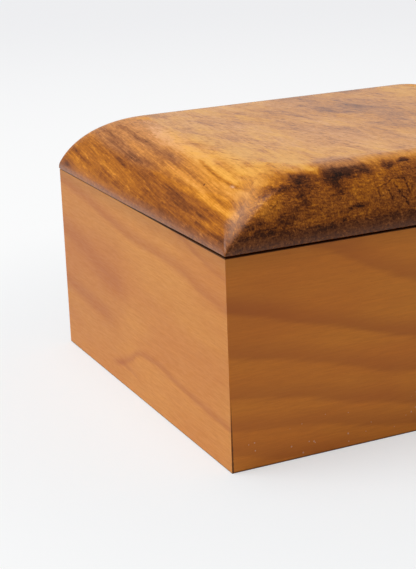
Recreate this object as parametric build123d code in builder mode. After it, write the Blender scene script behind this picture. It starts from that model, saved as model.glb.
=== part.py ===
from build123d import *
from math import cos, radians, sin, sqrt, tan
import os

# Keepsake box: four mitred boards round a grooved-in bottom, under a solid pillow-topped lid
# that swings on two small brass stop hinges let into the back.
#
# Millimetres. +X runs to the right along the front, +Y to the back and +Z up.
# The origin is the centre of the boards' footprint, on the surface the box stands on.

# ---------------------------------------------------------------- driving sizes

# Body boards
box_length = 243.0  # along the front, outside the boards
box_depth = 206.0  # front to back, outside the boards
box_height = 100.0  # height of the boards
board_thickness = 12.0
arris = 0.4  # easing of the long outer edges

# Bottom panel and the groove that holds it
panel_thickness = 6.0
panel_height = 5.0  # underside of the panel above the table
groove_depth = 6.0
panel_play = 0.2  # panel in its groove, on the thickness
panel_gap = 0.3  # panel edge to the bottom of the groove

# Loose tongues hidden in the mitres
tongue_thickness = 3.0
tongue_width = 9.0  # across the joint, half in each board
tongue_setback = 4.0  # from the inside corner towards the outside one, along each board's thickness
tongue_low = 18.0  # lower end above the table
tongue_top_cover = 12.0  # wood left above the tongue
tongue_play = 0.1  # each side of the tongue in its slot

# Linings
lining_thickness = 2.0
lining_gap = 0.5  # edge of a lining to the wood round it

# Lid
seam = 0.7  # gap between the closed lid and the boards
end_overhang = 0.3  # lid past the boards at each end
side_overhang = 0.5  # lid past the boards at front and back
rim_band = 0.8  # upright edge below the curve
crown_rise = 27.6  # height of the curve above the upright edge
foot_radius = 6.7  # tight curve that turns the upright edge into the slope
end_slope = 65.0  # steepest slope of the wide curve on the two ends, in degrees
side_slope = 85.0  # the same on the front and the back
rim_corner = 0.5  # plan radius of the corners at the rim
crown_corner = 10.0  # plan radius of the corners where the curve meets the flat top
foot_levels = 3  # cross-sections in the tight curve
crown_levels = 14  # cross-sections in the wide curve
recess_depth = 10.0
recess_wall = 12.0  # rim left round the recess, from the boards' outside
recess_corner = 8.0

# Stop hinges
hinge_inset = 52.0  # middle of a hinge from the end of the box
leaf_length = 32.0
leaf_width = 9.0  # pin axis to the inner edge
leaf_thickness = 1.8
leaf_fit = 0.1  # leaf edge to the wood round it
barrel_length = 22.0
knuckle_count = 3
knuckle_gap = 0.1
barrel_relief = 0.1  # barrel stands this much inside the outer faces of the two leaves
barrel_clearance = 0.2  # leaf edge to the other leaf's knuckles
pin_radius = 0.9
pin_clearance = 0.04
stop_angle = 95.0  # the bevelled stops meet when the lid stands this far open
stop_slack = 1.0  # degrees left between the stops at that angle

# Hinge screws
screws_per_leaf = 2
screw_pitch = 17.0
screw_setback = 5.0  # from the pin axis into the wood
screw_length = 9.5
screw_radius = 1.2
screw_head_radius = 2.3
screw_hole_clearance = 0.15
screw_sink = 0.1  # head below the face of the leaf
screw_angle = 90.0  # included angle of the countersunk head
pilot_spare = 0.8  # pilot hole past the end of the screw

# ---------------------------------------------------------------- derived places

inner_length = box_length - 2 * board_thickness
inner_depth = box_depth - 2 * board_thickness
panel_top = panel_height + panel_thickness
lid_underside = box_height + seam
lid_length = box_length + 2 * end_overhang
lid_depth = box_depth + 2 * side_overhang
crown_foot = lid_underside + rim_band

hinge_places = (-box_length / 2 + hinge_inset, box_length / 2 - hinge_inset)
pin_y = box_depth / 2
pin_z = box_height + seam / 2
barrel_radius = leaf_thickness + seam / 2 - barrel_relief
knuckle_length = (barrel_length - (knuckle_count - 1) * knuckle_gap) / knuckle_count
stop_length = (leaf_length - barrel_length) / 2 - knuckle_gap
stop_bevel = radians((stop_angle + stop_slack) / 2)
screw_y = pin_y - screw_setback
head_depth = (screw_head_radius - screw_radius) / tan(radians(screw_angle / 2))

os.makedirs("parts", exist_ok=True)


def keep(piece, name):
    """Label a finished piece and write it to its own file."""
    piece.label = name
    export_step(piece, f"parts/{name}.step")


# ---------------------------------------------------------------- body boards

upright = (0, 0, 1)
outer_faces = {
    "front_board": (Plane((0, -box_depth / 2, 0), x_dir=(1, 0, 0), z_dir=upright), box_length),
    "back_board": (Plane((0, box_depth / 2, 0), x_dir=(-1, 0, 0), z_dir=upright), box_length),
    "left_end_board": (Plane((-box_length / 2, 0, 0), x_dir=(0, -1, 0), z_dir=upright), box_depth),
    "right_end_board": (Plane((box_length / 2, 0, 0), x_dir=(0, 1, 0), z_dir=upright), box_depth),
}

for board_name, (outer_face, run) in outer_faces.items():
    with BuildPart() as board:
        # Plan of the board: outer face on the local X axis, both ends cut at 45 degrees.
        with BuildSketch(outer_face):
            with BuildLine():
                Polyline(
                    (-run / 2, 0),
                    (run / 2, 0),
                    (run / 2 - board_thickness, board_thickness),
                    (-run / 2 + board_thickness, board_thickness),
                    close=True,
                )
            make_face()
        extrude(amount=box_height)

        # Ease the two long outer edges; the mitred arrises stay sharp.
        long_edges = board.edges().filter_by(lambda e: abs(e.length - run) < 0.001)
        fillet(long_edges, radius=arris)

        # Groove for the bottom panel.
        with BuildSketch(outer_face.offset(panel_height)):
            with Locations((0, board_thickness - groove_depth / 2)):
                Rectangle(run, groove_depth)
        extrude(amount=panel_thickness + panel_play, mode=Mode.SUBTRACT)

        # Stopped slots for the loose tongues, square to each mitre.
        with BuildSketch(outer_face.offset(tongue_low - tongue_play)):
            for end in (-1, 1):
                along = end * (run / 2 - board_thickness + tongue_setback)
                with Locations(Location((along, board_thickness - tongue_setback), 45 * end)):
                    Rectangle(tongue_width + 2 * tongue_play, tongue_thickness + 2 * tongue_play)
        extrude(amount=box_height - tongue_top_cover - tongue_low + 2 * tongue_play, mode=Mode.SUBTRACT)

        if board_name == "back_board":
            # Mortises for the hinge leaves, open at the back, with the screws' pilot holes.
            for hinge_x in hinge_places:
                with BuildSketch(Plane.XY.offset(box_height)):
                    with Locations((hinge_x, pin_y - (leaf_width + leaf_fit) / 2)):
                        Rectangle(leaf_length + 2 * leaf_fit, leaf_width + leaf_fit)
                extrude(amount=-leaf_thickness, mode=Mode.SUBTRACT)
                with BuildSketch(Plane.XY.offset(box_height - leaf_thickness)):
                    with Locations((hinge_x, screw_y)):
                        with GridLocations(screw_pitch, 1, screws_per_leaf, 1):
                            Circle(screw_radius)
                extrude(amount=-(screw_length + pilot_spare - leaf_thickness), mode=Mode.SUBTRACT)
    keep(board.part, board_name)

# ---------------------------------------------------------------- mitre tongues

tongue_corner = (inner_length / 2 + tongue_setback, inner_depth / 2 + tongue_setback)
corners = {
    "mitre_tongue_front_left": (-1, -1),
    "mitre_tongue_front_right": (1, -1),
    "mitre_tongue_back_left": (-1, 1),
    "mitre_tongue_back_right": (1, 1),
}
for tongue_name, (side_x, side_y) in corners.items():
    with BuildPart() as tongue:
        with BuildSketch(Plane.XY.offset(tongue_low)):
            place = (side_x * tongue_corner[0], side_y * tongue_corner[1])
            with Locations(Location(place, -45 * side_x * side_y)):
                Rectangle(tongue_width, tongue_thickness)
        extrude(amount=box_height - tongue_top_cover - tongue_low)
    keep(tongue.part, tongue_name)

# ---------------------------------------------------------------- bottom and its lining

with BuildPart() as bottom_panel:
    with BuildSketch(Plane.XY.offset(panel_height)):
        tongue_out = 2 * (groove_depth - panel_gap)
        Rectangle(inner_length + tongue_out, inner_depth + tongue_out)
    extrude(amount=panel_thickness)
keep(bottom_panel.part, "bottom_panel")

with BuildPart() as base_lining:
    with BuildSketch(Plane.XY.offset(panel_top)):
        Rectangle(inner_length - 2 * lining_gap, inner_depth - 2 * lining_gap)
    extrude(amount=lining_thickness)
keep(base_lining.part, "base_lining")

# ---------------------------------------------------------------- lid


def crown_radius(slope):
    """Radius of the wide curve, which leaves the tight one at a slope and is level at its top."""
    return (crown_rise - foot_radius * cos(radians(slope))) / (1 - cos(radians(slope)))


def curve_inset(slope, height):
    """Distance in from the rim at a height above the upright edge."""
    if height < foot_radius * cos(radians(slope)):
        return foot_radius - sqrt(foot_radius**2 - height**2)
    radius = crown_radius(slope)
    foot_inset = foot_radius * (1 - sin(radians(slope)))
    return foot_inset + radius * sin(radians(slope)) - sqrt(radius**2 - (radius - crown_rise + height) ** 2)


# Heights of the cross-sections, at even turns of the end curve: first up the tight curve, then the wide one.
foot_turns = [90 - (90 - end_slope) * step / foot_levels for step in range(foot_levels)]
crown_turns = [end_slope * (1 - step / crown_levels) for step in range(crown_levels + 1)]
section_heights = [foot_radius * cos(radians(turn)) for turn in foot_turns]
section_heights += [crown_rise - crown_radius(end_slope) * (1 - cos(radians(turn))) for turn in crown_turns]


with BuildPart() as lid:
    with BuildSketch(Plane.XY.offset(lid_underside)):
        RectangleRounded(lid_length, lid_depth, rim_corner)
    extrude(amount=rim_band)
    fillet(lid.faces().sort_by(Axis.Z)[0].edges(), radius=arris)

    # The pillow: the corners of its cross-sections open as they rise, so that the four hips are
    # sharp at the rim and melt into the flat top. Ruled strips keep the four sides straight along the rim.
    for height in section_heights:
        with BuildSketch(Plane.XY.offset(crown_foot + height)):
            RectangleRounded(
                lid_length - 2 * curve_inset(end_slope, height),
                lid_depth - 2 * curve_inset(side_slope, height),
                rim_corner + (crown_corner - rim_corner) * height / crown_rise,
            )
    loft(ruled=True)

    # Routed recess beneath.
    with BuildSketch(Plane.XY.offset(lid_underside)):
        RectangleRounded(box_length - 2 * recess_wall, box_depth - 2 * recess_wall, recess_corner)
    extrude(amount=recess_depth, mode=Mode.SUBTRACT)

    # Mortises for the upper leaves, open at the back, with their pilot holes.
    mortise_depth = leaf_width + leaf_fit + side_overhang
    for hinge_x in hinge_places:
        with BuildSketch(Plane.XY.offset(lid_underside)):
            with Locations((hinge_x, pin_y + side_overhang - mortise_depth / 2)):
                Rectangle(leaf_length + 2 * leaf_fit, mortise_depth)
        extrude(amount=leaf_thickness, mode=Mode.SUBTRACT)
        with BuildSketch(Plane.XY.offset(lid_underside + leaf_thickness)):
            with Locations((hinge_x, screw_y)):
                with GridLocations(screw_pitch, 1, screws_per_leaf, 1):
                    Circle(screw_radius)
        extrude(amount=screw_length + pilot_spare - leaf_thickness, mode=Mode.SUBTRACT)
keep(lid.part, "lid")

with BuildPart() as lid_lining:
    with BuildSketch(Plane.XY.offset(lid_underside + recess_depth)):
        RectangleRounded(
            box_length - 2 * (recess_wall + lining_gap),
            box_depth - 2 * (recess_wall + lining_gap),
            recess_corner - lining_gap,
        )
    extrude(amount=-lining_thickness)
keep(lid_lining.part, "lid_lining")

# ---------------------------------------------------------------- stop hinges


def hinge_leaf(hinge_x, side, own_knuckles):
    """One machined leaf: its plate, its share of the knuckles and a bevelled stop at each end.

    side is -1 for the leaf let into the back board and 1 for the one let into the lid.
    The section is drawn square to the pin, with its origin on the pin's axis.
    """
    section = Plane((hinge_x, pin_y, pin_z), x_dir=(0, 1, 0), z_dir=(1, 0, 0))
    inner = side * seam / 2
    outer = side * (seam / 2 + leaf_thickness)
    plate_edge = -(barrel_radius + barrel_clearance)
    with BuildPart() as leaf:
        with BuildSketch(section.offset(-leaf_length / 2)):
            with BuildLine():
                Polyline(
                    (-leaf_width, inner),
                    (plate_edge, inner),
                    (plate_edge, outer),
                    (-leaf_width, outer),
                    close=True,
                )
            make_face()
        extrude(amount=leaf_length)

        for number in own_knuckles:
            start = -barrel_length / 2 + number * (knuckle_length + knuckle_gap)
            with BuildSketch(section.offset(start)):
                with BuildLine():
                    Polyline((plate_edge, inner), (0, inner), (0, outer), (plate_edge, outer), close=True)
                make_face()
                Circle(barrel_radius)
            extrude(amount=knuckle_length)

        # Each stop is cut off on a plane through the pin's axis.
        for start in (-leaf_length / 2, leaf_length / 2 - stop_length):
            with BuildSketch(section.offset(start)):
                with BuildLine():
                    Polyline(
                        (plate_edge, inner),
                        (abs(inner) / tan(stop_bevel), inner),
                        (abs(outer) / tan(stop_bevel), outer),
                        (plate_edge, outer),
                        close=True,
                    )
                make_face()
            extrude(amount=stop_length)

        with BuildSketch(section.offset(-barrel_length / 2)):
            Circle(pin_radius + pin_clearance)
        extrude(amount=barrel_length, mode=Mode.SUBTRACT)

        with Locations(Plane((hinge_x, screw_y, pin_z + inner), z_dir=(0, 0, -side))):
            with GridLocations(screw_pitch, 1, screws_per_leaf, 1):
                CounterSinkHole(
                    radius=screw_radius + screw_hole_clearance,
                    counter_sink_radius=screw_head_radius + screw_sink,
                    depth=leaf_thickness,
                    counter_sink_angle=screw_angle,
                )
    return leaf.part


body_knuckles = range(0, knuckle_count, 2)
lid_knuckles = range(1, knuckle_count, 2)
for hinge_side, hinge_x in zip(("left", "right"), hinge_places):
    keep(hinge_leaf(hinge_x, -1, body_knuckles), f"{hinge_side}_hinge_body_leaf")
    keep(hinge_leaf(hinge_x, 1, lid_knuckles), f"{hinge_side}_hinge_lid_leaf")
    with BuildPart() as hinge_pin:
        with BuildSketch(Plane((hinge_x - barrel_length / 2, pin_y, pin_z), z_dir=(1, 0, 0))):
            Circle(pin_radius)
        extrude(amount=barrel_length)
    keep(hinge_pin.part, f"{hinge_side}_hinge_pin")

# ---------------------------------------------------------------- hinge screws

# One countersunk screw, shank down, the top of its head on the XY plane.
with BuildPart() as screw:
    with BuildSketch(Plane.XZ):
        with BuildLine():
            Polyline(
                (0, 0),
                (screw_head_radius, 0),
                (screw_radius, -head_depth),
                (screw_radius, -screw_length),
                (0, -screw_length),
                close=True,
            )
        make_face()
    revolve(axis=Axis.Z)

for group_name, side in (("body_hinge_screws", -1), ("lid_hinge_screws", 1)):
    head_z = pin_z + side * (seam / 2 + screw_sink)
    with BuildPart() as hinge_screws:
        for hinge_x in hinge_places:
            with Locations(Plane((hinge_x, screw_y, head_z), z_dir=(0, 0, -side))):
                with GridLocations(screw_pitch, 1, screws_per_leaf, 1):
                    add(screw.part)
    keep(hinge_screws.part, group_name)
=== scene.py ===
"""Keepsake box with a solid pillow-topped lid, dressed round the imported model.

Lengths named below are metres unless a name or comment says millimetres. +X runs to the right
along the front, +Y to the back and +Z up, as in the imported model.
"""

import logging
import math
from dataclasses import dataclass
from enum import Enum

import bpy
import numpy as np
from mathutils import Matrix, Vector


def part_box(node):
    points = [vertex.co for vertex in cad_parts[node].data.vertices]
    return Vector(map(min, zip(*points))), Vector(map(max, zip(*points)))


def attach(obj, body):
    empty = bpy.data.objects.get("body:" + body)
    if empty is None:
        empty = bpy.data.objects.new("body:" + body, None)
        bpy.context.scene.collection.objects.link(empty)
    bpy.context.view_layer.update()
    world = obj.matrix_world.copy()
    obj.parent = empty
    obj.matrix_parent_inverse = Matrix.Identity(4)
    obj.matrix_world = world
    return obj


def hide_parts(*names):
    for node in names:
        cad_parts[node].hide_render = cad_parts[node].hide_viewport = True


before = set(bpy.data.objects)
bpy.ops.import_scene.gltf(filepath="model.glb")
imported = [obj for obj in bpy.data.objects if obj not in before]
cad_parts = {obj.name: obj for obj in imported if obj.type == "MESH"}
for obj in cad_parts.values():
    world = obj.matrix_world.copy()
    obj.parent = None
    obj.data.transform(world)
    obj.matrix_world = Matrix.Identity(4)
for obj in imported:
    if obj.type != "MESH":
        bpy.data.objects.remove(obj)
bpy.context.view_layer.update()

Point = tuple[float, float]
Triple = tuple[float, float, float]
Colour = tuple[float, float, float, float]
Layer = tuple[Triple, float, float]
Socket = bpy.types.NodeSocket

MM = 0.001
LOG = logging.getLogger("keepsake_box")
# The dull field also masks the painted sheen on the hips.
LID_FIELDS = ("tone", "dusk", "burr", "foot", "top", "dull")
# Millimetres:
BAND_FADE = 26.0  # over which a growth band dies out
# Painted shade under the lid reaches this far down each board's face.
UNDER_LID_SHADE_DEPTH = 10.0  # of each board's darkened top
MITRE_INSET = 0.5  # from a board's end to the dark line of its open mitre
DUST_HEIGHT = 34.0  # up to which specks of dust lie on the front
BEYOND = 99.0  # further than any fine line reaches


def linear(code: str) -> Colour:
    """Turn a display colour into the renderer's linear one.

    Args:
        code: six hexadecimal digits, two each for red, green and blue.

    Returns:
        Linear red, green and blue with an alpha of 1.
    """
    shown = np.array([int(code[place : place + 2], 16) for place in (0, 2, 4)]) / 255
    red, green, blue = np.where(shown <= 0.04045, shown / 12.92, ((shown + 0.055) / 1.055) ** 2.4)
    return float(red), float(green), float(blue), 1.0


def smoothstep(low: float, high: float, value: np.ndarray) -> np.ndarray:
    """Rise from 0 at low to 1 at high along 3t^2 - 2t^3."""
    share = np.clip((value - low) / (high - low), 0, 1)
    return share * share * (3 - 2 * share)


# ---------------------------------------------------------------- shader graph


class Signal:
    """What a socket of a shader graph carries; arithmetic on it adds maths nodes."""

    def __init__(self, graph: "Graph", socket: Socket) -> None:
        """Carry one socket of a graph."""
        self.graph, self.socket = graph, socket

    def __add__(self, other: "Level") -> "Signal":
        """This and another."""
        return self.graph.calc("ADD", self, other)

    def __sub__(self, other: "Level") -> "Signal":
        """This less another."""
        return self.graph.calc("SUBTRACT", self, other)

    def __rsub__(self, other: float) -> "Signal":
        """A number less this."""
        return self.graph.calc("SUBTRACT", other, self)

    def __mul__(self, other: "Level") -> "Signal":
        """This times another."""
        return self.graph.calc("MULTIPLY", self, other)

    def __truediv__(self, other: float) -> "Signal":
        """This over a number."""
        return self.graph.calc("DIVIDE", self, other)

    def most(self, other: "Level") -> "Signal":
        """The greater of this and another."""
        return self.graph.calc("MAXIMUM", self, other)

    def least(self, other: "Level") -> "Signal":
        """The smaller of this and another."""
        return self.graph.calc("MINIMUM", self, other)

    def clamped(self) -> "Signal":
        """This, kept within 0 and 1."""
        return self.least(1.0).most(0.0)


Level = Signal | Socket | float
Input = Level | tuple


class Graph:
    """The nodes of one material, or of the room, wired as they are made."""

    def __init__(self, owner: bpy.types.Material | bpy.types.World) -> None:
        """Empty the owner's node tree to start on it.

        Args:
            owner: what the nodes belong to.
        """
        owner.use_nodes = True
        self.owner, self.tree = owner, owner.node_tree
        self.tree.nodes.clear()

    def feed(self, socket: Socket, value: Input) -> None:
        """Wire a signal into a socket, or write a plain value on it.

        Args:
            socket: the socket that is fed.
            value: the signal or the value.
        """
        source = value.socket if isinstance(value, Signal) else value
        if isinstance(source, bpy.types.NodeSocket):
            self.tree.links.new(source, socket)
        else:
            socket.default_value = source

    def add(self, kind: str, **inputs: Input) -> bpy.types.Node:
        """Make a node and feed its inputs.

        Args:
            kind: the node type after the word ShaderNode.
            inputs: values by socket name, with underscores for spaces.

        Returns:
            The new node.
        """
        node = self.tree.nodes.new("ShaderNode" + kind)
        for name, value in inputs.items():
            self.feed(node.inputs[name.replace("_", " ")], value)
        return node

    def take(self, kind: str, output: int | str = 0, **inputs: Input) -> Signal:
        """Make a node and take one of its outputs.

        Args:
            kind: the node type after the word ShaderNode.
            output: the output's name or number.
            inputs: values by socket name, with underscores for spaces.

        Returns:
            The output.
        """
        return Signal(self, self.add(kind, **inputs).outputs[output])

    def close(self, shader: Signal) -> bpy.types.Material | bpy.types.World:
        """Make a shader the owner's surface.

        Args:
            shader: the shader.

        Returns:
            The owner.
        """
        kind = "OutputWorld" if isinstance(self.owner, bpy.types.World) else "OutputMaterial"
        self.add(kind, Surface=shader)
        return self.owner

    def finish(self, **inputs: Input) -> bpy.types.Material:
        """Close the material with a principled surface, fed by socket name."""
        return self.close(self.take("BsdfPrincipled", **inputs))

    def place(self) -> Signal:
        """Position on the piece in millimetres, from its Object coordinates."""
        return self.take("Mapping", Vector=self.take("TexCoord", "Object"), Scale=(1 / MM,) * 3)

    def stored(self, name: str, output: str = "Fac") -> Signal:
        """Read a value kept on the mesh's points.

        Args:
            name: the attribute's name.
            output: Fac for a number, Vector for three.

        Returns:
            The value.
        """
        node = self.add("Attribute")
        node.attribute_name = name
        return Signal(self, node.outputs[output])

    def part(self, vector: Level, axis: int) -> Signal:
        """One component of a vector."""
        return self.take("SeparateXYZ", axis, Vector=vector)

    def turned(self, vector: Signal, degrees: float) -> Signal:
        """Turn a position clockwise about the upright axis.

        Args:
            vector: the position.
            degrees: how far it is turned.

        Returns:
            The turned position.
        """
        node = self.add("VectorRotate", Vector=vector, Angle=math.radians(-degrees))
        node.rotation_type = "Z_AXIS"
        return Signal(self, node.outputs[0])

    def calc(self, operation: str, *values: Level) -> Signal:
        """Work out one number from others.

        Args:
            operation: the maths node's operation.
            values: its operands.

        Returns:
            The result.
        """
        node = self.add("Math")
        node.operation = operation
        for socket, value in zip(node.inputs, values):
            self.feed(socket, value)
        return Signal(self, node.outputs[0])

    def vector(self, operation: str, first: Input, second: Input) -> Signal:
        """Work on vectors.

        Args:
            operation: the vector maths node's operation.
            first: first operand.
            second: second operand, or the factor of a scaling.

        Returns:
            The new vector, or the number that a product, a distance or a length comes to.
        """
        node = self.add("VectorMath")
        node.operation = operation
        self.feed(node.inputs[0], first)
        self.feed(node.inputs["Scale" if operation == "SCALE" else 1], second)
        number = operation in ("DOT_PRODUCT", "DISTANCE", "LENGTH")
        return Signal(self, node.outputs["Value" if number else "Vector"])

    def gap(self, place: Signal, start: np.ndarray, end: np.ndarray) -> Signal:
        """Distance to a straight stretch: what is left after the nearest point on it is taken off.

        Args:
            place: position in millimetres.
            start: one end of the stretch.
            end: its other end.

        Returns:
            The distance in millimetres.
        """
        run = end - start
        off = self.vector("SUBTRACT", place, tuple(start))
        share = self.vector("DOT_PRODUCT", off, tuple(run / (run @ run))).clamped()
        return self.vector("DISTANCE", off, self.vector("SCALE", tuple(run), share))

    def rise(self, value: Level, low: float, high: float, bottom: float = 0.0, top: float = 1.0) -> Signal:
        """Ease a value from one level to another.

        Args:
            value: what is eased.
            low: value that gives bottom.
            high: value that gives top.
            bottom: level at low and beyond it.
            top: level at high and beyond it.

        Returns:
            The eased level.
        """
        limits = {"From_Min": low, "From_Max": high, "To_Min": bottom, "To_Max": top}
        node = self.add("MapRange", Value=value, **limits)
        node.interpolation_type = "SMOOTHSTEP"
        return Signal(self, node.outputs["Result"])

    def noise(self, coords: Signal, scale: Triple, detail: float = 3.0, roughness: float = 0.55,
              distortion: float = 0.0) -> Signal:
        """Layered noise with its own scale along each axis.

        Args:
            coords: position in millimetres.
            scale: waves per millimetre along x, y and z.
            detail: number of finer layers.
            roughness: strength of each finer layer.
            distortion: how far the pattern is pulled about.

        Returns:
            A value from 0 to 1, mostly near 0.5.
        """
        scaled = self.take("Mapping", Vector=coords, Scale=scale)
        look = {"Scale": 1.0, "Detail": detail, "Roughness": roughness, "Distortion": distortion}
        return self.take("TexNoise", "Fac", Vector=scaled, **look)

    def layers(self, coords: Signal, layers: tuple[Layer, ...], roughness: float,
               distortion: float = 0.0) -> Signal:
        """Sum of noises that swing about zero.

        Args:
            coords: position in millimetres.
            layers: scale, detail and strength of each noise.
            roughness: strength of each finer layer of a noise.
            distortion: how far the patterns are pulled about.

        Returns:
            The sum.
        """
        level: Level = 0.0
        for scale, detail, strength in layers:
            level = (self.noise(coords, scale, detail, roughness, distortion) - 0.5) * strength + level
        return level

    def mix(self, factor: Signal, first: Level, second: Signal) -> Signal:
        """Go from one number to another as the factor rises from 0 to 1."""
        return (second - first) * factor + first

    def blend(self, factor: Level, first: Input, second: Input) -> Signal:
        """Mix two colours.

        Args:
            factor: share of the second one.
            first: colour at 0.
            second: colour at 1.

        Returns:
            The mixed colour.
        """
        node = self.add("Mix")
        node.data_type = "RGBA"
        self.feed(node.inputs["Factor"], factor)
        colours = [socket for socket in node.inputs if socket.type == "RGBA"]
        for socket, colour in zip(colours, (first, second)):
            self.feed(socket, colour)
        return Signal(self, [socket for socket in node.outputs if socket.type == "RGBA"][0])

    def either(self, factor: Level, first: Signal, second: Signal) -> Signal:
        """Mix two shaders.

        Args:
            factor: share of the second one.
            first: shader at 0.
            second: shader at 1.

        Returns:
            The mixed shader.
        """
        node = self.add("MixShader", Fac=factor)
        self.feed(node.inputs[1], first)
        self.feed(node.inputs[2], second)
        return Signal(self, node.outputs[0])

    def ramp(self, value: Level, stops: tuple[tuple[float, str], ...]) -> Signal:
        """Colour a value along a row of stops.

        Args:
            value: place along the row, 0 to 1.
            stops: place and display colour of each stop.

        Returns:
            The colour.
        """
        node = self.add("ValToRGB", Fac=value)
        row = node.color_ramp.elements
        while len(row) < len(stops):
            row.new(0.5)
        for element, (at, code) in zip(row, stops):
            element.position, element.color = at, linear(code)
        return Signal(self, node.outputs["Color"])

    def curve(self, value: Level, points: tuple[Point, ...]) -> Signal:
        """Pass a value through a smooth curve.

        Args:
            value: what goes in, 0 to 1.
            points: places on the curve, in order.

        Returns:
            What comes out.
        """
        node = self.add("FloatCurve", Value=value)
        node.mapping.use_clip = False
        line = node.mapping.curves[0]
        while len(line.points) < len(points):
            line.points.new(0.5, 0.5)
        for knot, place in zip(line.points, points):
            knot.location = place
        node.mapping.update()
        return Signal(self, node.outputs[0])

    def relief(self, height: Level, depth: float) -> Signal:
        """Normal of a surface raised by a height of 0 to 1, where 1 stands for a depth in metres."""
        return self.take("Bump", Height=height, Distance=depth)


# ---------------------------------------------------------------- finishes


class Run(Enum):
    """Which way a board's grain runs, as the index of its axis."""

    LENGTHWAYS = 0
    DEPTHWAYS = 1


@dataclass(frozen=True)
class Band:
    """A soft dark growth band across a board's face.

    Attributes:
        path: places along the board and above the table, in millimetres.
        width: how far below its line it fades out, in millimetres.
        strength: how much of the band colour it takes.
        span: where along the board it has died out, in millimetres.
        trail: how many times further it reaches above its line than below.
    """

    path: tuple[Point, ...]
    width: float
    strength: float
    span: Point = (-100.0, 400.0)
    trail: float = 3.2


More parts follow.
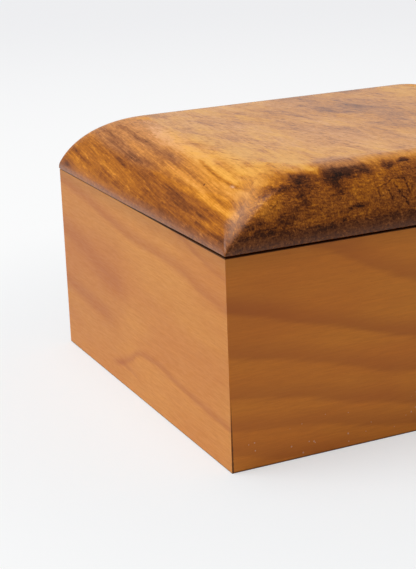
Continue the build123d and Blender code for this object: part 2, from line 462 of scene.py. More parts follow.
@dataclass(frozen=True)
class BoardWood:
    """Even-grained honey-brown wood under a thin satin finish.

    Attributes:
        name: the material's name.
        run: axis that the grain follows.
        start: where along that axis the board begins, in millimetres.
        length: the board's length in millimetres.
        height: the board's height in millimetres.
        outer: how far its outer face stands from the middle of the box, in millimetres.
        bands: growth bands on its face.
        open_mitre: height up to which the mitre at its start shows as a dark hairline, in millimetres.
        specks: whether pale dust lies in the low part of its face.
        shade: how far down from its top edge the painted shadow of the seam reaches, in millimetres.
        thinned: share of that depth left at the board's far end.
        foot_shadow: how far up from its foot a painted contact shadow reaches, in millimetres.
        under_lid_shade: how much painted shade darkens the top ten millimetres of the face, under the lid.
        thins: places along the board, 0 to 1, between which the painted shadow under the seam thins out.
        top_shadow: distances in from the outer face, in millimetres, between which the painted shadow
        of the seam on the board's top fades out.
        pale: colour between the growth bands.
        body: colour of most of it.
        band: colour of the growth bands.
        dark: colour of an open joint, and of the painted shade along the edges.
        dust: colour of the dust.
    """

    name: str
    run: Run
    start: float
    length: float
    height: float
    outer: float
    bands: tuple[Band, ...]
    open_mitre: float = 0.0
    specks: bool = False
    shade: float = 0.4
    thinned: float = 1.0
    foot_shadow: float = 0.3
    under_lid_shade: float = 0.18
    thins: Point = (0.1, 0.7)
    top_shadow: Point = (1.3, 2.0)
    pale: Colour = linear("E48E2E")
    body: Colour = linear("DB812A")
    band: Colour = linear("AC5B24")
    dark: Colour = linear("2A150A")
    dust: Colour = linear("D8C8B0")

    def scale(self, along: float, across: float) -> Triple:
        """Noise scale that is along on the grain's axis and across on the others."""
        return tuple(along if axis == self.run.value else across for axis in range(3))

    def growth(self, graph: Graph, along: Signal, height: Signal) -> Level:
        """Darkness of all the bands at a point.

        Each band is dark on its own line, a smooth curve from place along to height, and fades
        slowly above it and quickly below.

        Args:
            graph: the material's graph.
            along: place along the board, 0 to 1.
            height: height above the table in millimetres, swayed a little.

        Returns:
            Darkness, 0 or more.
        """
        total: Level = 0.0
        fade = BAND_FADE / self.length
        for band in self.bands:
            knots = tuple((x / self.length, z / self.height) for x, z in band.path)
            line = graph.curve(along, knots) * self.height
            gap = ((height - line) / band.trail).most(line - height)
            mask = graph.rise(gap, 0.0, band.width, band.strength, 0.0)
            first, last = (place / self.length for place in band.span)
            if first > 0:
                mask *= graph.rise(along, first, first + fade)
            if last < 1:
                mask *= graph.rise(along, last - fade, last, 1.0, 0.0)
            total = mask + total
        return total

    def edge_shade(self, graph: Graph, place: Signal, along: Signal) -> Signal:
        """Darkness of the painted shade: seam shadow, shade under the lid and contact shadow at the foot.

        The seam shadow lies on the face, and also on the outer millimetre or two of the board's top, which
        shows inside the seam.

        Args:
            graph: the material's graph.
            place: position in millimetres.
            along: place along the board, 0 to 1.

        Returns:
            Darkness, 0 to 1.
        """
        up = graph.part(place, 2)
        width = graph.rise(along, *self.thins, 1.0, self.thinned) * self.shade
        # Painted shadow of the seam along the top edge, and below it painted shade under the lid.
        line = graph.rise(self.height - up - width, -0.1, 0.3, 0.92, 0.0)
        under_lid_shade = graph.rise(up, self.height - UNDER_LID_SHADE_DEPTH, self.height - 0.5, 0.0, self.under_lid_shade)
        inward = self.outer - graph.calc("ABSOLUTE", graph.part(place, 1 - self.run.value))
        on_top = graph.calc("GREATER_THAN", up, self.height - 0.01)
        # On the board's top the painted seam shadow runs along the outer side, inside the seam.
        edge = graph.mix(on_top, line.most(under_lid_shade), graph.rise(inward, *self.top_shadow, 0.9, 0.0))
        # Painted contact shadow along the foot.
        return edge.most(graph.rise(up, self.foot_shadow, self.foot_shadow + 0.4, 0.8, 0.0))

    def hairline(self, graph: Graph, place: Signal, streak: Signal) -> Signal:
        """The slightly open mitre, a dark hairline just inside the board's end.

        Args:
            graph: the material's graph.
            place: position in millimetres.
            streak: noise that varies the line's width.

        Returns:
            Darkness, 0 to 1.
        """
        inside = graph.part(place, self.run.value) - self.start
        width = streak * graph.rise(graph.part(place, 2), 0.0, self.open_mitre, 0.85, 0.0)
        return graph.calc("LESS_THAN", graph.calc("ABSOLUTE", inside - MITRE_INSET), width) * 0.75

    @staticmethod
    def dusting(graph: Graph, place: Signal) -> Signal:
        """A few pale specks of dust over the low part of the face.

        Args:
            graph: the material's graph.
            place: position in millimetres.

        Returns:
            How much they cover, 0 to 1.
        """
        cells = graph.add("TexVoronoi", Vector=place, Scale=0.33).outputs
        size = graph.rise(graph.part(place, 2), 0.0, DUST_HEIGHT, 0.15, 0.02)
        chosen = graph.calc("GREATER_THAN", graph.part(cells["Color"], 0), 0.62)
        return graph.calc("LESS_THAN", cells["Distance"], size) * chosen * 0.5

    def build(self) -> bpy.types.Material:
        """Make the material.

        Returns:
            The material, which reads Object coordinates.
        """
        graph = Graph(bpy.data.materials.new(self.name))
        place = graph.place()
        along = (graph.part(place, self.run.value) - self.start) / self.length
        broad = graph.noise(place, self.scale(0.008, 0.03), 2)
        streak = graph.noise(place, self.scale(0.03, 0.45), 4, 0.6)
        fibre = graph.noise(place, self.scale(0.12, 1.5), 4, 0.7)
        pore = graph.noise(place, self.scale(0.4, 2.4), 3, 0.7)

        growth = self.growth(graph, along, graph.part(place, 2) + (streak * 3.2 - 1.6))
        colour = graph.blend(graph.rise(broad, 0.35, 0.65), self.body, self.pale)
        for share in (
            graph.rise(streak, 0.35, 0.7, 0.08, 0.2),
            (growth * graph.rise(broad, 0.3, 0.65, 0.85, 1.05)).least(1.0),
            graph.rise(fibre, 0.3, 0.7, 0.09, 0.33),
            graph.rise(pore, 0.58, 0.76, 0.0, 0.38),
        ):
            colour = graph.blend(share, colour, self.band)
        if self.open_mitre:
            colour = graph.blend(self.hairline(graph, place, streak), colour, self.dark)
        if self.specks:
            colour = graph.blend(self.dusting(graph, place), colour, self.dust)
        # The base colour carries painted shade along the seam, under the lid and at the foot.
        return graph.finish(
            Base_Color=graph.blend(self.edge_shade(graph, place, along), colour, self.dark),
            Roughness=graph.rise(fibre, 0.3, 0.7, 0.36, 0.48),
            IOR=1.28,
            Normal=graph.relief(fibre * 0.6 - pore * 0.4, 0.03 * MM),
        )


@dataclass(frozen=True)
class LidWood:
    """Richly figured wood, gold to near-black, under polished lacquer.

    The mesh carries the lie of the grain, the figure's tone, how far the wood turns from gold to
    dusky brown, and where end grain, the foot of the curve, the flat top and the dull hips are; the
    hips also carry a painted sheen.

    Attributes:
        name: the material's name.
        gold: tones of the golden wood, dark to light.
        dusk: tones of the dusky brown wood.
        scuff_and_sheen: colour where the lacquer is scuffed through, and of the painted sheen on the hips.
        turns: degrees that the grain has turned by, and where along the box that turn begins and is
            complete, in millimetres.
        fine: scale, detail and strength of the streaks and fibres along the grain.
        rough: the same of the end grain's mottling.
        slant: degrees that the top's clouds and dark strokes are turned off the grain.
        scuffed: duskiness between which the scuff colour comes through.
        sheen_fade: heights in millimetres between which the painted sheen on the hips fades.
    """

    name: str = "figured_lid_wood"
    gold: tuple[tuple[float, str], ...] = (
        (0.0, "2A1408"), (0.2, "52280E"), (0.4, "8B4A16"),
        (0.58, "B66B1A"), (0.75, "DE8F28"), (1.0, "FCB64E"),
    )
    dusk: tuple[tuple[float, str], ...] = (
        (0.0, "24120C"), (0.25, "5A331E"), (0.5, "A4663A"), (0.75, "DE9652"), (1.0, "FABA82"),
    )
    scuff_and_sheen: Colour = linear("EADBCB")
    turns: tuple[Triple, ...] = ((22.0, -70.0, -25.0), (42.0, -15.0, 35.0))
    fine: tuple[Layer, ...] = (
        ((0.10, 0.011, 0.10), 2, 0.24), ((0.42, 0.02, 0.42), 3, 0.32), ((1.25, 0.06, 1.25), 4, 0.52),
    )
    rough: tuple[Layer, ...] = (
        ((0.10, 0.26, 0.30), 4, 0.34), ((0.30, 0.9, 1.1), 4, 0.60), ((1.3, 1.0, 1.0), 3, 0.75),
    )
    slant: float = 20.0
    scuffed: Point = (1.7, 2.6)
    sheen_fade: Point = (114.0, 134.0)

    @staticmethod
    def hairlines(graph: Graph, place: Signal, cuts: list[tuple[np.ndarray, float]]) -> Signal:
        """Darkness of the fine lines in the end grain, drawn on a slightly shaken position.

        Args:
            graph: the material's graph.
            place: position in millimetres.
            cuts: the points of each line in millimetres, and its half-width.

        Returns:
            Darkness, 0 to 1.
        """
        shake = graph.take("TexNoise", "Color", Vector=place, Scale=0.5, Detail=3.0)
        shake = graph.vector("SCALE", graph.vector("SUBTRACT", shake, (0.5, 0.5, 0.5)), 1.3)
        loose = graph.vector("ADD", place, shake)
        total: Level = 0.0
        for points, width in cuts:
            nearest: Level = BEYOND
            for start, end in zip(points[:-1], points[1:]):
                nearest = graph.gap(loose, start, end).least(nearest)
            total = graph.rise(nearest, 0.4 * width, 1.5 * width, 1.0, 0.0).most(total)
        return total * graph.rise(graph.noise(place, (0.9, 0.9, 0.9), 2), 0.3, 0.55, 0.35, 1.0)

    def lines(self, graph: Graph, grain: Signal) -> Signal:
        """Change of tone, about -0.4 to 0.4, by the streaks and fibres that run along the grain."""
        pore = graph.noise(grain, (1.7, 0.16, 1.7), 2, 0.7)
        return graph.layers(grain, self.fine, 0.6) - graph.rise(pore, 0.62, 0.76, 0.0, 0.14)

    def build(self, cuts: list[tuple[np.ndarray, float]]) -> bpy.types.Material:
        """Make the material.

        Args:
            cuts: the points of each fine dark line in millimetres, and its half-width.

        Returns:
            The material, which reads the lid's own attributes and Object coordinates.
        """
        graph = Graph(bpy.data.materials.new(self.name))
        grain, place = graph.stored("grain", "Vector"), graph.place()
        tone, dusk, burr, foot, top, dull = (graph.stored(name) for name in LID_FIELDS)
        lines = self.lines(graph, grain)
        for turn, first, last in self.turns:
            here = graph.rise(graph.part(place, 0), first, last)
            lines = graph.mix(here, lines, self.lines(graph, graph.turned(grain, turn)))
        lines *= 1.0 - burr * 0.75
        lines *= graph.rise(foot, 0.0, 1.0, 1.0, 0.4) * graph.rise(top, 0.0, 1.0, 1.0, 0.75)
        fleck = (graph.noise(place, (0.6, 0.3, 0.6), 5, 0.78) - 0.5) * graph.rise(top, 0.0, 1.0, 0.45, 0.65)
        level = tone + (fleck + lines)

        slanted = graph.turned(grain, self.slant)
        mottle = (graph.noise(slanted, (0.10, 0.035, 0.10), 5, 0.68, 0.6) - 0.5) * top
        stroke = graph.rise(graph.noise(slanted, (1.1, 0.15, 1.1), 3, 0.6), 0.52, 0.70) * top
        level = level - stroke * 0.22 + (mottle + mottle.least(0.0)) * 0.6
        cloud = graph.mix(
            burr, graph.noise(grain, (0.06, 0.010, 0.06)), graph.noise(place, (0.045, 0.02, 0.045))
        ) - 0.5
        level += cloud * 0.12
        level += graph.layers(place, self.rough, 0.62, 0.4) * burr
        dash = graph.noise(grain, (0.8, 0.12, 0.9), 2, 0.6)
        level += graph.rise(dash, 0.56, 0.72, 0.0, 0.14) * graph.rise(tone, 0.35, 0.7, 1.0, 0.2)
        level -= self.hairlines(graph, place, cuts) * 0.22

        share = (dusk + cloud * 0.8 - mottle * 2.6).clamped()
        colour = graph.blend(share, graph.ramp(level, self.gold), graph.ramp(level, self.dusk))
        colour = graph.blend(graph.rise(dusk, *self.scuffed, 0.0, 0.8), colour, self.scuff_and_sheen)
        # Painted sheen along the hips, a pale pinkish highlight that fades up them.
        hip_sheen = dull * graph.rise(graph.part(place, 2), *self.sheen_fade, 0.08, 0.02)
        return graph.finish(
            Base_Color=graph.blend(hip_sheen, colour, self.scuff_and_sheen),
            Roughness=graph.rise(dash, 0.3, 0.7, 0.17, 0.24) + dull * 0.3,
            IOR=1.32,
            Normal=graph.relief(dash, 0.012 * MM),
        )


@dataclass(frozen=True)
class PlainWood:
    """Sealed wood for the pieces inside the box.

    Attributes:
        name: the material's name.
        light: display colour of the wood between its lines.
        deep: display colour of the lines.
        scale: noise scale along each axis, in waves per millimetre.
        roughness: how dull the seal is.
    """

    name: str
    light: str
    deep: str
    scale: Triple
    roughness: float

    def build(self) -> bpy.types.Material:
        """Make the material.

        Returns:
            The material, which reads Object coordinates.
        """
        graph = Graph(bpy.data.materials.new(self.name))
        place = graph.place()
        line = graph.noise(place, self.scale, 5, 0.6, 0.4)
        fibre = graph.noise(place, tuple(8 * number for number in self.scale))
        colour = graph.blend(graph.rise(line, 0.35, 0.65), linear(self.light), linear(self.deep))
        colour = graph.blend(graph.rise(fibre, 0.4, 0.75, 0.0, 0.3), colour, linear(self.deep))
        normal = graph.relief(fibre, 0.04 * MM)
        return graph.finish(Base_Color=colour, Roughness=self.roughness, Normal=normal)


@dataclass(frozen=True)
class Felt:
    """Short-napped felt: tangled fibres, faintly lighter at grazing angles.

    Attributes:
        name: the material's name.
        nap: display colour of the deep nap.
        tuft: display colour of the raised fibres.
    """

    name: str = "lining_felt"
    nap: str = "2B1A14"
    tuft: str = "4A3026"

    def build(self) -> bpy.types.Material:
        """Make the material.

        Returns:
            The material, which reads Object coordinates.
        """
        graph = Graph(bpy.data.materials.new(self.name))
        place = graph.place()
        tangle = graph.noise(place, (1.6, 1.6, 1.6), 6, 0.75, 1.5)
        brushed = graph.noise(place, (0.02, 0.03, 0.03), distortion=0.8)
        colour = graph.blend(graph.rise(tangle, 0.3, 0.7), linear(self.nap), linear(self.tuft))
        colour = graph.blend(graph.rise(brushed, 0.4, 0.65, 0.0, 0.35), colour, linear(self.tuft))
        return graph.finish(
            Base_Color=colour,
            Roughness=0.95,
            Sheen_Weight=0.35,
            Sheen_Roughness=0.5,
            Normal=graph.relief(tangle, 0.35 * MM),
        )


@dataclass(frozen=True)
class Brass:
    """Satin brass with fine drawn lines along X and a faint tarnish.

    Attributes:
        name: the material's name.
        bright: display colour of the clean metal.
        tarnish: display colour where it has dulled.
    """

    name: str = "satin_brass"
    bright: str = "DDB36A"
    tarnish: str = "A87B3C"

    def build(self) -> bpy.types.Material:
        """Make the material.

        Returns:
            The material, which reads Object coordinates.
        """
        graph = Graph(bpy.data.materials.new(self.name))
        place = graph.place()
        drawn = graph.noise(place, (0.15, 9.0, 9.0), 2)
        aged = graph.noise(place, (0.25, 0.25, 0.25), 4, 0.65)
        colour = graph.blend(graph.rise(aged, 0.4, 0.7, 0.0, 0.55), linear(self.bright), linear(self.tarnish))
        return graph.finish(
            Base_Color=colour,
            Metallic=1.0,
            Roughness=graph.rise(aged, 0.3, 0.7, 0.24, 0.42),
            Normal=graph.relief(drawn, 0.01 * MM),
        )


# ---------------------------------------------------------------- meshes


def mesh_piece(name: str, points: np.ndarray, faces: list, crease: float) -> bpy.types.Object:
    """Make a smooth-shaded object whose sharper folds stay crisp.

    Args:
        name: the piece's name.
        points: one row of x, y and z for each point.
        faces: point numbers of each face, anticlockwise from outside.
        crease: folds above this angle in degrees are shaded as edges.

    Returns:
        The object, standing at the origin.
    """
    mesh = bpy.data.meshes.new(name)
    mesh.from_pydata(points, [], faces)
    mesh.polygons.foreach_set("use_smooth", np.ones(len(mesh.polygons), dtype=bool))
    mesh.set_sharp_from_angle(angle=math.radians(crease))
    mesh.update()
    piece = bpy.data.objects.new(name, mesh)
    bpy.context.scene.collection.objects.link(piece)
    return piece


def apply_modifiers(piece: bpy.types.Object) -> None:
    """Give a piece the mesh that its modifiers make, and take the modifiers off.

    Args:
        piece: the piece.
    """
    bpy.context.view_layer.update()
    made = bpy.data.meshes.new_from_object(piece.evaluated_get(bpy.context.evaluated_depsgraph_get()))
    piece.modifiers.clear()
    piece.data = made


def round_corners(
    x: np.ndarray, y: np.ndarray, half_x: np.ndarray, half_y: np.ndarray, radius: np.ndarray
) -> tuple[np.ndarray, np.ndarray]:
    """Bend points on square-cornered outlines onto round-cornered ones.

    A point within the radius of a corner, measured along its side, goes onto the quarter circle:
    at the corner itself to the arc's middle, at the full radius to the arc's end, evenly between.

    Args:
        x: place across, on outlines of half-width half_x.
        y: place along, on outlines of half-length half_y.
        half_x: half-width of each point's outline.
        half_y: half-length of each point's outline.
        radius: corner radius of each point's outline.

    Returns:
        The bent x and y.
    """
    across, along = half_x - np.abs(x), half_y - np.abs(y)
    share = np.clip(np.maximum(across, along) / np.maximum(radius, 1e-9), 0, 1)
    angle = (1 - share) * math.pi / 4
    on_end, free = across <= along, share >= 1
    bent_x = half_x - radius + radius * np.where(on_end, np.cos(angle), np.sin(angle))
    bent_y = half_y - radius + radius * np.where(on_end, np.sin(angle), np.cos(angle))
    return np.where(free, x, np.sign(x) * bent_x), np.where(free, y, np.sign(y) * bent_y)


def belts(count: int, rows: int) -> list[tuple[int, int, int, int]]:
    """Faces between closed rings of points that are numbered ring after ring.

    Args:
        count: points in each ring.
        rows: number of rings.

    Returns:
        Four point numbers a face, turning the way that faces outwards when rings go anticlockwise
        and upwards.
    """
    ring = np.arange(rows - 1)[:, None] * count
    at, after = np.arange(count)[None, :], (np.arange(count)[None, :] + 1) % count
    quads = np.stack([ring + at, ring + after, ring + count + after, ring + count + at], axis=-1)
    return quads.reshape(-1, 4).tolist()


# ---------------------------------------------------------------- figure of the lid


class Face(Enum):
    """Side of the lid that marks of its figure are placed on."""

    END = "left end: place front to back, and up the curve from the rim"
    FRONT = "front: place along the box, and up the curve from the rim"
    TOP = "flat top: place along the box and front to back"


@dataclass(frozen=True)
class Chart:
    """The lid's top laid out flat in millimetres, u up from the left rim and v up from the front rim.

    Attributes:
        x: place along the box of each column of the lid's mesh.
        y: place front to back of each row.
        u: distance along the surface from the left rim to each column.
        v: distance along the surface from the front rim to each row.
        crown: distance up the ends at which the surface is level.
    """

    x: np.ndarray
    y: np.ndarray
    u: np.ndarray
    v: np.ndarray
    crown: float

    def spot(self, face: Face, place: Point) -> np.ndarray:
        """Chart coordinates of a place on one side.

        Args:
            face: the side.
            place: the place, in that side's own millimetres.

        Returns:
            u and v.
        """
        first, second = place
        if face is Face.END:
            return np.array([second, np.interp(first, self.y, self.v)])
        if face is Face.FRONT:
            return np.array([np.interp(first, self.x, self.u), second])
        return np.array([np.interp(first, self.x, self.u), np.interp(second, self.y, self.v)])


@dataclass(frozen=True)
class Streak:
    """A long soft mark along the grain.

    Attributes:
        path: its line, in millimetres on its side.
        width: half-width in millimetres.
        tone: change of tone, negative for darker.
        fade: length over which its ends die out, in millimetres.
        dusk: change from gold towards dusky brown.
    """

    path: tuple[Point, ...]
    width: float
    tone: float
    fade: float = 14.0
    dusk: float = 0.0

    def mask(self, chart: Chart, face: Face, u: np.ndarray, v: np.ndarray) -> np.ndarray:
        """Strength of the streak at each point.

        The strength falls off as a bell curve of the distance to the line's nearest stretch, and
        dies out towards the line's two ends.

        Args:
            chart: the lid's chart.
            face: the side that the streak is on.
            u: chart coordinate up the ends.
            v: chart coordinate up the front.

        Returns:
            Strength, 0 to 1.
        """
        line = np.array([chart.spot(face, place) for place in self.path])
        starts, steps = line[:-1], np.diff(line, axis=0)
        lengths = np.hypot(steps[:, 0], steps[:, 1])
        before = np.concatenate([[0.0], np.cumsum(lengths)[:-1]])
        gap_u, gap_v = u[..., None] - starts[:, 0], v[..., None] - starts[:, 1]
        share = np.clip((gap_u * steps[:, 0] + gap_v * steps[:, 1]) / lengths**2, 0, 1)
        gap = np.hypot(gap_u - share * steps[:, 0], gap_v - share * steps[:, 1])
        nearest = gap.argmin(axis=-1)[..., None]
        gap = np.take_along_axis(gap, nearest, -1)[..., 0]
        done = np.take_along_axis(before + share * lengths, nearest, -1)[..., 0]
        lead = -0.2 * self.fade
        ends = smoothstep(lead, self.fade, done) * smoothstep(lead, self.fade, lengths.sum() - done)
        return np.exp(-((gap / self.width) ** 2)) * ends


@dataclass(frozen=True)
class Patch:
    """A soft-edged blotch.

    Attributes:
        centre: its middle, in millimetres on its side.
        reach: half-width and half-height in millimetres.
        tone: change of tone, negative for darker.
        turn: how far it is turned anticlockwise, in degrees.
        dusk: change from gold towards dusky brown.
    """

    centre: Point
    reach: Point
    tone: float
    turn: float = 0.0
    dusk: float = 0.0

    def mask(self, chart: Chart, face: Face, u: np.ndarray, v: np.ndarray) -> np.ndarray:
        """Strength of the patch at each point.

        It is full inside half of the turned ellipse and gone at 1.35 times it.

        Args:
            chart: the lid's chart.
            face: the side that the patch is on.
            u: chart coordinate up the ends.
            v: chart coordinate up the front.

        Returns:
            Strength, 0 to 1.
        """
        centre, turn = chart.spot(face, self.centre), math.radians(self.turn)
        across, up = u - centre[0], v - centre[1]
        if face is Face.END:
            across, up = up, across
        flat = (across * math.cos(turn) + up * math.sin(turn)) / self.reach[0]
        steep = (up * math.cos(turn) - across * math.sin(turn)) / self.reach[1]
        return 1 - smoothstep(0.5, 1.35, np.hypot(flat, steep))


@dataclass(frozen=True)
class Hairline:
    """A fine dark line in the end grain of the front.

    Attributes:
        path: places along the box, and up the curve from the rim, in millimetres.
        width: half-width in millimetres.
    """

    path: tuple[Point, ...]
    width: float = 0.3


Marks = dict[Face, tuple[Streak | Patch, ...]]


def ripple(across: np.ndarray, along: np.ndarray, reach: float, turn: float) -> np.ndarray:
    """Smooth irregular shift of about +-1, a sum of slanted waves each finer than the last.

    Args:
        across: first coordinate in millimetres.
        along: second coordinate in millimetres.
        reach: length of the longest wave in millimetres.
        turn: shifts the waves, so that calls differ.

    Returns:
        The shift at each point.
    """
    total = np.zeros_like(across)
    for n in range(5):
        slant = turn + 1.9 * n
        way = across * math.cos(slant) + along * math.sin(slant)
        total += np.sin(way * 6.28 * 1.7**n / reach + 2.3 * n) * 0.75**n
    return total / 2.2


@dataclass(frozen=True)
class Figure:
    """The lid's figure. Its distances are millimetres.

    Attributes:
        marks: the marks placed on each side.
        end_tone: distances up the ends from the rim, and the tone there, whose dark lowest stop is the
        painted shadow of the seam.
        side_tone: the same up the front and back, added to the tone of the ends.
        end_dusk: distances up the ends and how dusky the wood is there, the duskier foot band being a
        painted reflection of the pale surroundings.
        side_dusk: distances up the front and back and how much duskier the wood is there.
        turned: strength of the marks laid on again, turned half round.
        foot_ends: distances up from the rim between which the plain foot ends.
        burr_starts: distances up the front between which its end grain comes to full strength.
        burr_ends: distances up the front between which it gives way to the top's grain.
        top_starts: distances up from the rim between which the top's own figure begins.
        hip_starts: distances up from the rim between which the hips begin to be worn dull and to carry
        a painted sheen.
        hip_width: half-width of the dull strip along each hip, which also carries the painted sheen.
    """

    marks: Marks
    # The lowest stops darken the rim's bottom 0.7 mm: painted shadow of the seam.
    end_tone: tuple[Point, ...] = (
        (0, 0.0), (0.7, 0.38), (7, 0.40), (12, 0.47), (20, 0.555), (27, 0.68),
        (38, 0.80), (56, 0.84), (80, 0.95), (110, 0.94), (150, 0.76),
    )
    side_tone: tuple[Point, ...] = (
        (0, -0.56), (5, -0.56), (6.5, -0.57), (9, -0.43), (28, -0.40), (33, -0.27), (38, 0),
    )
    # The duskier band up to 4.5 mm is a painted reflection of the pale surroundings on the steep foot.
    end_dusk: tuple[Point, ...] = (
        (0, 0.4), (4.5, 0.4), (6, -0.1), (18, 0.0), (26, 0.25), (40, 0.3), (75, 0.34), (110, 0.54),
    )
    side_dusk: tuple[Point, ...] = ((0, 0.2), (5, 0.2), (8, -0.25), (33, -0.25), (38, 0.0))
    turned: float = 0.8
    foot_ends: Point = (4, 6.5)
    burr_starts: Point = (4, 7)
    burr_ends: Point = (26, 42)
    top_starts: Point = (30, 48)
    hip_starts: Point = (4, 15)
    hip_width: float = 8.0

    @staticmethod
    def grain(x: np.ndarray, y: np.ndarray, z: np.ndarray) -> np.ndarray:
        """Position measured across, along and up the grain, in millimetres.

        The grain runs front to back, a little aslant and wavy, and sinks towards the front at the
        left end.

        Args:
            x: place along the box in millimetres.
            y: place front to back.
            z: height.

        Returns:
            A row of three numbers for each place.
        """
        lean = 0.06 + 0.06 * smoothstep(-120, -95, x)
        sink = 0.10 * smoothstep(-90, -118, x)
        return np.stack([x - lean * y + 1.4 * ripple(x, y * 0.2, 110.0, 1.0), y, z - sink * y], axis=-1)

    def zones(self, left: np.ndarray, front: np.ndarray, side: np.ndarray) -> tuple[np.ndarray, ...]:
        """How much of each point is end grain, foot, flat top and dull hip, which also masks a painted sheen.

        Args:
            left: distance up from the nearer end's rim, in millimetres.
            front: distance up from the front rim or the back rim, whichever is nearer.
            side: 1 on the slopes of the front and back, 0 elsewhere.

        Returns:
            The four shares, 0 to 1.
        """
        near = np.minimum(left, front)
        burr = side * (1 - smoothstep(*self.burr_ends, front))
        burr = burr * (0.35 + 0.65 * smoothstep(*self.burr_starts, front))
        foot, top = 1 - smoothstep(*self.foot_ends, near), smoothstep(*self.top_starts, near)
        dull = np.exp(-(((left - front) / self.hip_width) ** 2)) * smoothstep(*self.hip_starts, near)
        return burr, foot, top, dull

    def paint(
        self, chart: Chart, u: np.ndarray, v: np.ndarray, side: np.ndarray, end: np.ndarray
    ) -> np.ndarray:
        """Tone and duskiness of the wood at each point: the sum of all the marks on a plain ground.

        The marks are placed on the left, the front and the top, and are laid on again turned half
        round, which figures the right and the back.

        Args:
            chart: turns a mark's place into chart coordinates.
            u: chart coordinate up the ends.
            v: chart coordinate up the front.
            side: 1 on the slopes of the front and back, 0 elsewhere.
            end: 1 on the slopes of the ends, 0 elsewhere.

        Returns:
            A row of tones and a row of shares of dusky brown, mostly 0 to 1.
        """
        full_u, full_v = chart.u[-1], chart.v[-1]
        up_end, up_side = np.minimum(u, full_u - u), np.minimum(v, full_v - v)
        ground = []
        for ends, sides in ((self.end_tone, self.side_tone), (self.end_dusk, self.side_dusk)):
            level = np.interp(up_end, *zip(*ends))
            level += (np.interp(chart.crown, *zip(*ends)) - level) * side
            ground.append(level + np.interp(up_side, *zip(*sides)) * (1 - end))
        marks = self.marked(chart, u, v, side, end)
        again = self.marked(chart, full_u - u, full_v - v, side, end)
        return np.stack(ground) + marks + self.turned * again

    def marked(
        self, chart: Chart, u: np.ndarray, v: np.ndarray, side: np.ndarray, end: np.ndarray
    ) -> np.ndarray:
        """Sum of all the marks at each point, their edges made irregular by shifting the chart.

        Marks of the ends keep off the front and back, and the other way round.

        Args:
            chart: turns a mark's place into chart coordinates.
            u: chart coordinate up the ends.
            v: chart coordinate up the front.
            side: 1 on the slopes of the front and back, 0 elsewhere.
            end: 1 on the slopes of the ends, 0 elsewhere.

        Returns:
            A row of changes of tone and a row of changes towards dusky brown.
        """
        loose = 0.3 + 0.7 * side
        loose_u = u + 1.3 * loose * ripple(u, v * 0.35, 18.0, 0.4)
        loose_v = v + 2.0 * loose * ripple(u, v, 14.0, 2.1)
        total = np.zeros((2, *u.shape))
        kept_off = {Face.END: side, Face.FRONT: end, Face.TOP: 0.0}
        for face, marks in self.marks.items():
            for mark in marks:
                mask = mark.mask(chart, face, loose_u, loose_v) * (1 - kept_off[face])
                total += np.array([[mark.tone], [mark.dusk]]) * mask
        return total


# ---------------------------------------------------------------- lid


